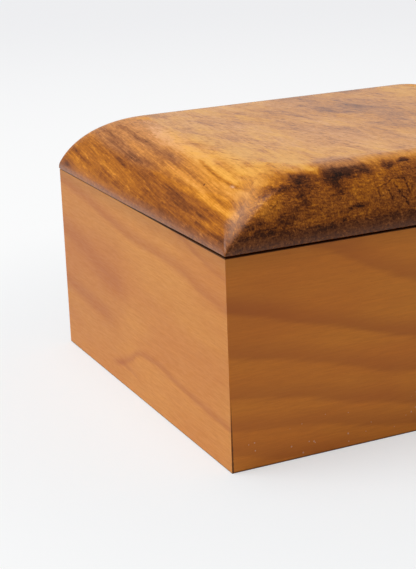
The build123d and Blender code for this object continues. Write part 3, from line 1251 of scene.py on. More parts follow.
@dataclass
class PillowLid:
    """The solid lid: a pillow whose hips are sharp at the rim and melt into the flat top.

    Its section is an upright rim, a tight curve that turns into the slope and a wide curve that
    ends level. Lengths are metres and angles degrees.

    Attributes:
        finish: its wood.
        figure: the wood's figure.
        hairlines: fine dark lines in its front.
        low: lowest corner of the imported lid.
        high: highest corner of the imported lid.
        boards: half-sizes of the boards' plan, and their height.
        rim_band: height of the upright rim.
        foot_radius: radius of the tight curve.
        end_slope: steepest slope of the wide curve at the two ends.
        side_slope: the same at front and back.
        rim_corner: corner radius in plan at the rim.
        crown_corner: corner radius in plan where the curve ends level.
        front_left_corner: the same at the front-left hip, which is rounder.
        corner_run: distance over the flat top in which those corners melt away.
        arris: radius of the rim's lower edge.
        arris_steps: steps round that edge.
        recess_depth: depth of the recess underneath.
        recess_wall: thickness of the wall round it.
        recess_corner: corner radius of the recess in plan.
        front_lift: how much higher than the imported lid's the underside is at the front.
        back_drop: how much lower it is at the back.
        ease: places front to back between which it changes.
        mortise_fit: play round the hinge leaves.
        curve_steps: mesh steps up the curve.
        flat_steps: mesh steps from the curve to the middle of the top.
        crease: folds above this angle are shaded as edges.
        hip_blend: how fast the change of figure across a hip widens up it.
    """

    finish: LidWood
    figure: Figure
    hairlines: tuple[Hairline, ...]
    low: Vector
    high: Vector
    boards: Vector
    rim_band: float = 0.8 * MM
    foot_radius: float = 6.7 * MM
    end_slope: float = 65.0
    side_slope: float = 85.0
    rim_corner: float = 0.5 * MM
    crown_corner: float = 11.0 * MM
    front_left_corner: float = 24.0 * MM
    corner_run: float = 45.0 * MM
    arris: float = 0.4 * MM
    arris_steps: int = 3
    recess_depth: float = 10.0 * MM
    recess_wall: float = 12.0 * MM
    recess_corner: float = 8.0 * MM
    front_lift: float = 0.2 * MM
    back_drop: float = 0.5 * MM
    ease: Point = (-85 * MM, 30 * MM)
    mortise_fit: float = 0.1 * MM
    curve_steps: int = 56
    flat_steps: int = 84
    crease: float = 50.0
    hip_blend: float = 0.30

    @property
    def base(self) -> float:
        """Height at which the curve leaves the upright rim."""
        return self.low.z + self.rim_band

    @property
    def rise(self) -> float:
        """Height of the curve."""
        return self.high.z - self.low.z - self.rim_band

    def inset(self, slope: float, height: np.ndarray) -> np.ndarray:
        """How far in from the rim the surface is.

        On the tight curve, the radius less the root of its square less the height's; on the wide
        one, the tight curve's whole inset and then the same for a circle level at the top.

        Args:
            slope: steepest slope of the wide curve.
            height: heights above the upright rim.

        Returns:
            The inset at each height.
        """
        turn = math.radians(slope)
        radius = (self.rise - self.foot_radius * math.cos(turn)) / (1 - math.cos(turn))
        tight = self.foot_radius - np.sqrt(np.maximum(self.foot_radius**2 - height**2, 0))
        start = self.foot_radius * (1 - math.sin(turn)) + radius * math.sin(turn)
        wide = start - np.sqrt(np.maximum(radius**2 - (radius - self.rise + height) ** 2, 0))
        return np.where(height < self.foot_radius * math.cos(turn), tight, wide)

    def climb(self, slope: float, count: int = 1000) -> tuple[np.ndarray, np.ndarray]:
        """Heights close together up the curve, closest near its top.

        Args:
            slope: steepest slope of the wide curve.
            count: number of heights.

        Returns:
            The heights above the rim, and the distance along the curve to each.
        """
        fine = self.rise * np.sin(np.linspace(0, math.pi / 2, count))
        steps = np.hypot(np.diff(fine), np.diff(self.inset(slope, fine)))
        return fine, np.concatenate([[0.0], np.cumsum(steps)])

    def levels(self) -> np.ndarray:
        """Heights of the mesh's steps up the curve, evenly spaced along it.

        Returns:
            The heights above the rim.
        """
        fine, ends = self.climb(self.end_slope, 4000)
        travel = ends + self.climb(self.side_slope, 4000)[1]
        return np.interp(np.linspace(0, travel[-1], self.curve_steps + 1), travel, fine)

    def half_line(self, half: float, slope: float, heights: np.ndarray) -> tuple[np.ndarray, np.ndarray]:
        """Steps from the rim to the middle of the lid along one axis.

        Args:
            half: half of the lid's size along the axis.
            slope: steepest slope of the wide curve there.
            heights: the mesh's heights above the rim.

        Returns:
            Distance from the middle, and distance along the surface from the rim's lower edge.
        """
        curve = half - self.inset(slope, heights)
        flat = curve[-1] * (1 - np.arange(1, self.flat_steps + 1) / self.flat_steps)
        out = np.concatenate([curve, flat])
        level = np.concatenate([heights, np.full(self.flat_steps, heights[-1])])
        travel = np.concatenate([[0.0], np.cumsum(np.hypot(np.diff(out), np.diff(level)))])
        return out, travel + self.rim_band

    def top(self) -> tuple[np.ndarray, np.ndarray, Chart]:
        """Points and faces of the curved surface.

        The surface is a function of two numbers, the steps in from the left or right rim and from
        the front or back rim. The smaller of the two sets the height, so the hips run along the
        grid's diagonals.

        Returns:
            The grid of points, its faces and its chart.
        """
        heights = self.levels()
        half_x, u = self.half_line(self.high.x, self.end_slope, heights)
        half_y, v = self.half_line(self.high.y, self.side_slope, heights)
        x, y = (np.concatenate([-half, half[-2::-1]]) for half in (half_x, half_y))
        full_u, full_v = (np.concatenate([half, 2 * half[-1] - half[-2::-1]]) for half in (u, v))
        steps = self.curve_steps + self.flat_steps
        number = np.arange(2 * steps + 1)
        number = np.minimum(number, 2 * steps - number)
        lower = np.minimum(number[:, None], number[None, :])
        level = np.concatenate([heights, np.full(self.flat_steps, heights[-1])])
        past = (half_x[self.curve_steps] - half_x[self.curve_steps + 1 :]) / self.corner_run
        rounding = np.concatenate([heights / heights[-1], 1 - smoothstep(0, 1, past)])[lower]
        flat_x, flat_y = np.meshgrid(x, y, indexing="ij")
        widest = np.where((flat_x < 0) & (flat_y < 0), self.front_left_corner, self.crown_corner)
        corner = np.where(lower > self.curve_steps, 0.0, self.rim_corner)
        corner = corner + (widest - corner) * rounding
        bent_x, bent_y = round_corners(flat_x, flat_y, half_x[lower], half_y[lower], corner)
        points = np.stack([bent_x, bent_y, self.base + level[lower]], axis=-1)
        chart = Chart(x / MM, y / MM, full_u / MM, full_v / MM, u[self.curve_steps] / MM)
        return points, self.top_faces(2 * steps + 1), chart

    @staticmethod
    def top_faces(count: int) -> np.ndarray:
        """Triangles of the grid, each square cut along the diagonal that the hips follow.

        Args:
            count: points along each side of the grid.

        Returns:
            Three point numbers a face.
        """
        index = np.arange(count * count).reshape(count, count)
        a, b, c, d = index[:-1, :-1], index[1:, :-1], index[1:, 1:], index[:-1, 1:]
        lower_half = np.arange(count - 1) < (count - 1) / 2
        same = lower_half[:, None] == lower_half[None, :]
        rising = np.stack([a, b, c, a, c, d], axis=-1)
        falling = np.stack([a, b, d, b, c, d], axis=-1)
        return np.where(same[..., None], rising, falling).reshape(-1, 3)

    @staticmethod
    def rim_ring(count: int) -> np.ndarray:
        """Point numbers round the edge of a square grid, anticlockwise seen from above."""
        index = np.arange(count * count).reshape(count, count)
        return np.concatenate([index[:-1, 0], index[-1, :-1], index[:0:-1, -1], index[0, :0:-1]])

    def underside(self, y: np.ndarray) -> np.ndarray:
        """Height of the underside, which eases down towards the back by a fraction of a millimetre."""
        return self.low.z + self.front_lift - smoothstep(*self.ease, y) * (self.front_lift + self.back_drop)

    def lower_rings(self, square: np.ndarray) -> np.ndarray:
        """Outlines from the recess's ceiling down its wall, out along the underside and round the arris.

        Each is the same square-cornered ring, widened to its half-sizes and given its corner
        radius.

        Args:
            square: the ring, with its sides at -1 and 1.

        Returns:
            The rings' points, ring by ring.
        """
        recess = (self.boards.x - self.recess_wall, self.boards.y - self.recess_wall, self.recess_corner)
        rings = [(*recess, self.recess_depth), (*recess, 0.0)]
        for turn in np.linspace(0, math.pi / 2, self.arris_steps + 1):
            back, lift = self.arris * (1 - math.sin(turn)), self.arris * (1 - math.cos(turn))
            rings.append((self.high.x - back, self.high.y - back, self.rim_corner, lift))
        points = []
        for half_x, half_y, radius, lift in rings:
            x, y = square[:, 0] * half_x, square[:, 1] * half_y
            x, y = round_corners(x, y, *(np.full_like(x, size) for size in (half_x, half_y, radius)))
            points.append(np.stack([x, y, self.underside(y) + lift], axis=-1))
        return np.concatenate(points)

    def cut_mortises(self, piece: bpy.types.Object) -> None:
        """Cut the hinge leaves' mortises into the underside, open at the back.

        Args:
            piece: the lid.
        """
        for node in ("left_hinge_lid_leaf", "right_hinge_lid_leaf"):
            low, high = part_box(node)
            low = Vector((low.x - self.mortise_fit, low.y - self.mortise_fit, self.low.z - self.rim_band))
            size = Vector((high.x + self.mortise_fit, 2 * self.high.y, high.z)) - low
            bpy.ops.mesh.primitive_cube_add(size=1)
            tool = bpy.context.object
            tool.data.transform(Matrix.Translation(low + size / 2) @ Matrix.Diagonal((*size, 1)))
            cut = piece.modifiers.new("mortise", "BOOLEAN")
            cut.object, cut.solver = tool, "EXACT"
            apply_modifiers(piece)
            bpy.data.objects.remove(tool)

    def store(self, piece: bpy.types.Object, chart: Chart) -> None:
        """Keep the figure on the mesh's points: tone, duskiness, zones and grain position.

        Args:
            piece: the lid.
            chart: the lid's chart.
        """
        mesh = piece.data
        place = np.empty(len(mesh.vertices) * 3, dtype=np.float32)
        mesh.vertices.foreach_get("co", place)
        x, y, z = (place.reshape(-1, 3) / MM).T.astype(float)
        up = np.maximum(z - self.base / MM, 0) * MM
        slopes = (self.end_slope, self.side_slope)
        slope_u, slope_v = ((np.interp(up, *self.climb(slope)) + self.rim_band) / MM for slope in slopes)
        flat_u, flat_v = np.interp(x, chart.x, chart.u), np.interp(y, chart.y, chart.v)
        on_flat = z > self.high.z / MM - 0.01
        left = np.minimum(flat_u, chart.u[-1] - flat_u)
        front = np.minimum(flat_v, chart.v[-1] - flat_v)
        near_end = (left < front) | on_flat
        u = np.where(near_end & ~on_flat, np.where(x < 0, slope_u, chart.u[-1] - slope_u), flat_u)
        v = np.where(~near_end, np.where(y < 0, slope_v, chart.v[-1] - slope_v), flat_v)
        spread = 0.8 + self.hip_blend * np.minimum(left, front)
        side = np.where(on_flat, 0.0, smoothstep(-0.3, 1.7, (left - front) / spread))
        end = np.where(on_flat, 0.0, 1 - side)
        tone, dusk = self.figure.paint(chart, u, v, side, end)
        burr, foot, top, dull = self.figure.zones(left, front, side)
        for name, values in zip(LID_FIELDS, (tone, dusk, burr, foot, top, dull * ~on_flat)):
            mesh.attributes.new(name, "FLOAT", "POINT").data.foreach_set("value", values.astype(np.float32))
        grain = self.figure.grain(x, y, z).astype(np.float32)
        mesh.attributes.new("grain", "FLOAT_VECTOR", "POINT").data.foreach_set("vector", grain.ravel())

    def front_points(self, path: tuple[Point, ...]) -> np.ndarray:
        """Points on the front's curve, in millimetres.

        Args:
            path: places along the box, and up the curve from the rim, in millimetres.

        Returns:
            A row of x, y and z for each place.
        """
        along, climbed = np.array(path, dtype=float).T
        fine, travel = self.climb(self.side_slope)
        height = np.interp(climbed * MM, travel + self.rim_band, fine)
        out = self.high.y - self.inset(self.side_slope, height)
        return np.stack([along, -out / MM, (self.base + height) / MM], axis=-1)

    def build(self) -> list[bpy.types.Object]:
        """Make the lid, cut it for its hinges and dress it.

        Returns:
            The lid alone, in a list.
        """
        points, faces, chart = self.top()
        count = points.shape[0]
        edge = self.rim_ring(count)
        half = np.array([chart.x[-1], chart.y[-1]])
        lower = self.lower_rings(np.stack([chart.x[edge // count], chart.y[edge % count]], axis=-1) / half)
        ring, rows, start = len(edge), len(lower) // len(edge), count * count
        at, after = np.arange(ring), np.roll(np.arange(ring), -1)
        last = start + (rows - 1) * ring
        rim = np.stack([last + at, last + after, edge[after], edge[at]], axis=-1)
        sides = (np.array(belts(ring, rows)) + start).tolist()
        ceiling = (start + at[::-1]).tolist()
        piece = mesh_piece(
            "pillow_lid",
            np.concatenate([points.reshape(-1, 3), lower]),
            faces.tolist() + sides + rim.tolist() + [ceiling],
            self.crease,
        )
        self.cut_mortises(piece)
        self.store(piece, chart)
        piece.data.materials.clear()
        cuts = [(self.front_points(line.path), line.width) for line in self.hairlines]
        piece.data.materials.append(self.finish.build(cuts))
        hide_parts("lid")
        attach(piece, "lid")
        return [piece]


# ---------------------------------------------------------------- body, linings and hinges


def dress(node: str, finish: bpy.types.Material) -> bpy.types.Object:
    """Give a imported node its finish.

    Args:
        node: the node's name.
        finish: the material.

    Returns:
        The node's object.
    """
    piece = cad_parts[node]
    piece.data.materials.clear()
    piece.data.materials.append(finish)
    return piece


@dataclass
class BoxBody:
    """The four mitred boards, their hidden tongues and the bottom panel.

    Attributes:
        boards: the finish of each board, by node.
        panel: finish of the bottom panel.
        tongue: finish of the tongues.
    """

    boards: dict[str, BoardWood]
    panel: PlainWood
    tongue: PlainWood

    def build(self) -> list[bpy.types.Object]:
        """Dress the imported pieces.

        Returns:
            The pieces.
        """
        made = [dress(node, wood.build()) for node, wood in self.boards.items()]
        made.append(dress("bottom_panel", self.panel.build()))
        tongue = self.tongue.build()
        made += [dress(node, tongue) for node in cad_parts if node.startswith("mitre_tongue")]
        return made


@dataclass
class Lining:
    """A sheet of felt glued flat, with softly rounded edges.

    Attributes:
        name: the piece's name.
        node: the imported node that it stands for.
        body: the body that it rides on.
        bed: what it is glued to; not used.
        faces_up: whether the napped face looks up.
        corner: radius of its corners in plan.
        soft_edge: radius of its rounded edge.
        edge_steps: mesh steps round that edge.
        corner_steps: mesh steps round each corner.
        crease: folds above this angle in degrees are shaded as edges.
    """

    name: str
    node: str
    body: str
    bed: str
    faces_up: bool
    corner: float
    soft_edge: float = 1.2 * MM
    edge_steps: int = 5
    corner_steps: int = 12
    crease: float = 40.0

    def outline(self, half_x: float, half_y: float, radius: float) -> np.ndarray:
        """Plan of the sheet: four quarter circles joined by straight sides.

        Args:
            half_x: half of its size along the box.
            half_y: half of its size front to back.
            radius: its corner radius.

        Returns:
            x and y of each point, anticlockwise.
        """
        quarter = np.linspace(0, math.pi / 2, self.corner_steps + 1)
        turns = np.arange(4)[:, None] * math.pi / 2 + quarter[None, :]
        sign_x = np.array([1, -1, -1, 1])[:, None]
        sign_y = np.array([1, 1, -1, -1])[:, None]
        x = sign_x * (half_x - radius) + radius * np.cos(turns)
        y = sign_y * (half_y - radius) + radius * np.sin(turns)
        return np.stack([x.ravel(), y.ravel()], axis=-1)

    def build(self, finish: bpy.types.Material) -> list[bpy.types.Object]:
        """Make the sheet: outlines from the glued face round the soft edge to the napped face.

        Args:
            finish: the felt.

        Returns:
            The sheet alone, in a list.
        """
        low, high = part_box(self.node)
        half_x, half_y = (high.x - low.x) / 2, (high.y - low.y) / 2
        thickness = high.z - low.z
        turns = np.linspace(0, math.pi / 2, self.edge_steps + 1)
        insets = np.concatenate([[0.0], self.soft_edge * (1 - np.cos(turns))])
        rises = np.concatenate([[0.0], thickness - self.soft_edge * (1 - np.sin(turns))])
        tightest = self.soft_edge / 4
        rings = []
        for inset, rise in zip(insets, rises):
            plan = self.outline(half_x - inset, half_y - inset, max(self.corner - inset, tightest))
            z = low.z + rise if self.faces_up else high.z - rise
            rings.append(np.column_stack([plan, np.full(len(plan), z)]))
        ring = len(rings[0])
        faces = belts(ring, len(rings))
        faces.append(list(range(ring))[::-1])
        faces.append(list(range((len(rings) - 1) * ring, len(rings) * ring)))
        if not self.faces_up:
            faces = [face[::-1] for face in faces]
        piece = mesh_piece(self.name, np.concatenate(rings), faces, self.crease)
        piece.data.materials.append(finish)
        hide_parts(self.node)
        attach(piece, self.body)
        return [piece]


@dataclass
class StopHinges:
    """The two brass stop hinges with their pins and screws.

    Attributes:
        finish: their brass.
    """

    finish: Brass

    def build(self) -> list[bpy.types.Object]:
        """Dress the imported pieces.

        Returns:
            The pieces.
        """
        brass = self.finish.build()
        return [dress(node, brass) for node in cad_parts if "hinge" in node]


# ---------------------------------------------------------------- studio


@dataclass(frozen=True)
class Softbox:
    """A large rectangular lamp aimed at the box.

    Attributes:
        name: the lamp's name.
        azimuth: where it stands, in degrees from the right, anticlockwise from above.
        elevation: how high it stands, in degrees.
        distance: how far off.
        width: its width.
        height: its height.
        power: its power in watts.
    """

    name: str
    azimuth: float
    elevation: float
    distance: float
    width: float
    height: float
    power: float

    def build(self, target: Vector) -> None:
        """Hang the lamp and aim it.

        Args:
            target: where it is aimed.
        """
        lamp = bpy.data.lights.new(self.name, "AREA")
        lamp.shape, lamp.size, lamp.size_y, lamp.energy = "RECTANGLE", self.width, self.height, self.power
        piece = bpy.data.objects.new(self.name, lamp)
        turn, lift = math.radians(self.azimuth), math.radians(self.elevation)
        away = Vector((math.cos(turn) * math.cos(lift), math.sin(turn) * math.cos(lift), math.sin(lift)))
        piece.location = target + away * self.distance
        piece.rotation_mode = "QUATERNION"
        piece.rotation_quaternion = away.to_track_quat("Z", "Y")
        bpy.context.scene.collection.objects.link(piece)


@dataclass
class Studio:
    """A plain pale floor, soft lamps and a pale room.

    Attributes:
        lamps: the lamps.
        target: where they are aimed.
        floor_reach: half-width of the floor.
        floor_drop: how far the floor is below the box, to keep the two surfaces apart.
        pale: colour of the floor and of the room behind it.
        distant: colour of the floor's far part.
        paper: colour of the floor's surface where light falls on it.
        shown: how much of the floor is its own colour beside the box and far from it, the rest being
            its surface in the light.
        evens_out: distances from the box between which it changes from one to the other.
        far: distances from the box between which the floor takes its far colour.
        mirrored: how much of shown is left in reflections.
        fill: brightness of the room all round.
        backdrop: brightness of the room's bright side.
        bright_side: direction of the bright side.
        bright_reach: cosines of the angles off that direction between which it brightens.
        back_wall: sines of the angles round to the back between which the wall there begins.
        low_wall: sines of the elevations between which the bright wall behind the box ends.
    """

    lamps: tuple[Softbox, ...]
    target: Vector
    floor_reach: float = 12.0
    floor_drop: float = 0.05 * MM
    pale: Colour = linear("FDFDFD")
    distant: Colour = linear("F2F2F4")
    paper: Colour = linear("EEF2F5")
    shown: Point = (0.47, 0.89)
    evens_out: Point = (0.15, 0.36)
    far: Point = (0.4, 1.6)
    mirrored: float = 0.45
    fill: float = 0.235
    backdrop: float = 0.64
    bright_side: Triple = (0.55, 0.83, 0.10)
    bright_reach: Point = (0.86, 0.99)
    back_wall: Point = (0.3, 0.6)
    low_wall: Point = (0.11, 0.16)

    def floor(self) -> None:
        """Lay the floor: pale by its own colour where it is seen, with the box's shadow on it."""
        bpy.ops.mesh.primitive_plane_add(size=2 * self.floor_reach, location=(0, 0, -self.floor_drop))
        piece = bpy.context.object
        piece.name = "studio_floor"
        graph = Graph(bpy.data.materials.new("studio_floor"))
        rays = graph.add("LightPath").outputs
        seen = graph.calc("MAXIMUM", rays["Is Glossy Ray"], rays["Is Transmission Ray"]) * self.mirrored
        away = graph.vector("LENGTH", graph.take("TexCoord", "Object"), (0.0, 0.0, 0.0))
        share = seen.most(rays["Is Camera Ray"]) * graph.rise(away, *self.evens_out, *self.shown)
        colour = graph.blend(graph.rise(away, *self.far), self.pale, self.distant)
        glow = graph.take("Emission", Color=colour, Strength=1.0)
        paper = graph.take("BsdfDiffuse", Color=self.paper)
        piece.data.materials.append(graph.close(graph.either(share, paper, glow)))

    def room(self) -> None:
        """Light the room: even all round, brighter on one side, and pale where the camera sees it."""
        world = bpy.data.worlds.new("studio_room")
        bpy.context.scene.world = world
        graph = Graph(world)
        way = graph.take("TexCoord", "Generated")
        facing = graph.vector("DOT_PRODUCT", way, tuple(Vector(self.bright_side).normalized()))
        behind = graph.rise(graph.part(way, 1), *self.back_wall)
        wall = behind * graph.rise(graph.part(way, 2), *self.low_wall, 1.0, 0.0)
        bright = graph.rise(facing, *self.bright_reach).most(wall)
        level = bright * (self.backdrop - self.fill) + self.fill
        lit, seen = graph.take("Background", Strength=level), graph.take("Background", Color=self.pale)
        graph.close(graph.either(graph.take("LightPath", "Is Camera Ray"), lit, seen))

    def build(self) -> None:
        """Set the whole studio up."""
        bpy.context.scene.view_settings.view_transform = "Standard"
        self.floor()
        self.room()
        for lamp in self.lamps:
            lamp.build(self.target)


@dataclass(frozen=True)
class Viewpoint:
    """The camera: above and to the left of the front, turned a little on its own axis.

    Attributes:
        azimuth: degrees round from straight in front, negative to the left.
        elevation: degrees above the horizon.
        roll: degrees that the picture is turned.
        right: how far the aim is to the right of the front-left arris at half its height.
        up: how far it is above it.
        distance: how far off the camera stands, along its line of sight.
        focal: focal length in pictures' pixels.
        picture: the picture's width and height in pixels.
        sensor: width of the film in millimetres.
    """

    azimuth: float = -24.78
    elevation: float = 17.31
    roll: float = -2.11
    right: float = -9.0 * MM
    up: float = 36.8 * MM
    distance: float = 640.36 * MM
    focal: float = 1470.67
    picture: tuple[int, int] = (416, 569)
    sensor: float = 36.0

    def build(self, arris: Vector) -> None:
        """Make the camera and aim it.

        Args:
            arris: middle of the front-left arris.
        """
        turn, lift, tilt = (math.radians(angle) for angle in (self.azimuth, self.elevation, self.roll))
        back = Vector((math.sin(turn) * math.cos(lift), -math.cos(turn) * math.cos(lift), math.sin(lift)))
        level = (-back).cross(Vector((0, 0, 1))).normalized()
        above = level.cross(-back)
        right = math.cos(tilt) * level + math.sin(tilt) * above
        up = math.cos(tilt) * above - math.sin(tilt) * level
        data = bpy.data.cameras.new("camera")
        data.sensor_width = self.sensor
        data.lens = self.focal / max(self.picture) * self.sensor
        camera = bpy.data.objects.new("camera", data)
        camera.matrix_world = Matrix.Translation(
            arris + self.right * right + self.up * up + self.distance * back
        ) @ Matrix((right, up, back)).transposed().to_4x4()
        bpy.context.scene.collection.objects.link(camera)
        bpy.context.scene.camera = camera


# ---------------------------------------------------------------- this box

FRONT_BANDS = (
    Band(((0, 78), (243, 78)), 34.0, 0.26, (-100, 46), 1.0),
    Band(((0, 118), (40, 102), (52, 97), (66, 90), (76, 84.5), (91, 78.5), (120, 68), (160, 55), (243, 31)),
         3.8, 0.5),
    Band(((0, 77), (21, 71), (41, 65), (61, 59.5), (81, 53), (91, 50.5), (120, 43), (160, 33), (243, 15)),
         3.4, 0.6),
    Band(((0, 56), (21, 52), (36, 48.5), (61, 41.5), (81, 35), (93, 33), (130, 26), (180, 17), (243, 7)),
         3.2, 0.48),
    Band(((0, 36.5), (21, 33.5), (41, 29.5), (61, 24), (81, 20), (93, 16.5), (140, 8), (243, -8)), 3.2, 0.5),
    Band(((0, 22), (21, 18.5), (46, 15.5), (61, 12), (81, 8), (93, 6), (140, -3), (243, -20)), 2.8, 0.46),
    Band(((0, 10), (11, 7), (26, 3.5), (41, 1.5), (80, -6), (243, -40)), 2.6, 0.42),
    Band(((100, 108), (140, 92), (180, 77), (243, 60)), 4.0, 0.55),
    Band(((150, 112), (190, 98), (243, 84)), 3.0, 0.5),
)
LEFT_BANDS = (
    # The first band darkens the rear half of the board as a whole, not along a growth line.
    Band(((0, 50), (206, 50)), 80.0, 0.24, (108, 400), 1.0),
    Band(((0, 76), (28, 79), (43, 82), (73, 84), (103, 84.5), (138, 87.5), (173, 92), (206, 94)),
         3.6, 0.46, trail=2.0),
    Band(((0, 90), (23, 93.5), (43, 98), (58, 101), (206, 130)), 2.2, 0.42, trail=1.5),
    Band(((0, 40), (120, 54), (150, 58), (175, 64), (206, 68)), 11.0, 0.42, (105, 400), 1.0),
    Band(((0, 30), (150, 34), (180, 36), (206, 38)), 8.0, 0.38, (125, 400), 1.0),
    Band(((0, 21), (43, 23), (58, 24), (73, 26), (98, 25.5), (106, 23.5), (113, 19), (133, 11)),
         3.0, 0.5, (-100, 146), 1.4),
    Band(((100, 8), (113, 11.5), (124, 12), (134, 11), (206, 4)), 2.2, 0.36, (96, 150), 1.4),
)
RIGHT_BANDS = (
    Band(((0, 84), (60, 80), (120, 72), (206, 66)), 4.0, 0.6),
    Band(((0, 62), (70, 60), (140, 50), (206, 46)), 3.4, 0.6),
    Band(((0, 44), (80, 43), (150, 33), (206, 30)), 3.6, 0.55),
    Band(((0, 26), (90, 25), (150, 17), (206, 15)), 3.0, 0.6),
    Band(((0, 9), (100, 9), (160, 3), (206, 0)), 2.6, 0.5),
)
BACK_BANDS = (
    Band(((0, 92), (80, 88), (160, 92), (243, 97)), 4.2, 0.55),
    Band(((0, 70), (60, 64), (120, 61), (180, 66), (243, 74)), 3.6, 0.65),
    Band(((0, 50), (70, 42), (121, 38), (180, 43), (243, 52)), 3.4, 0.6),
    Band(((0, 30), (75, 21), (121, 17), (170, 21), (243, 31)), 3.4, 0.6),
    Band(((0, 12), (60, 4), (121, -2), (243, 10)), 2.6, 0.5),
)

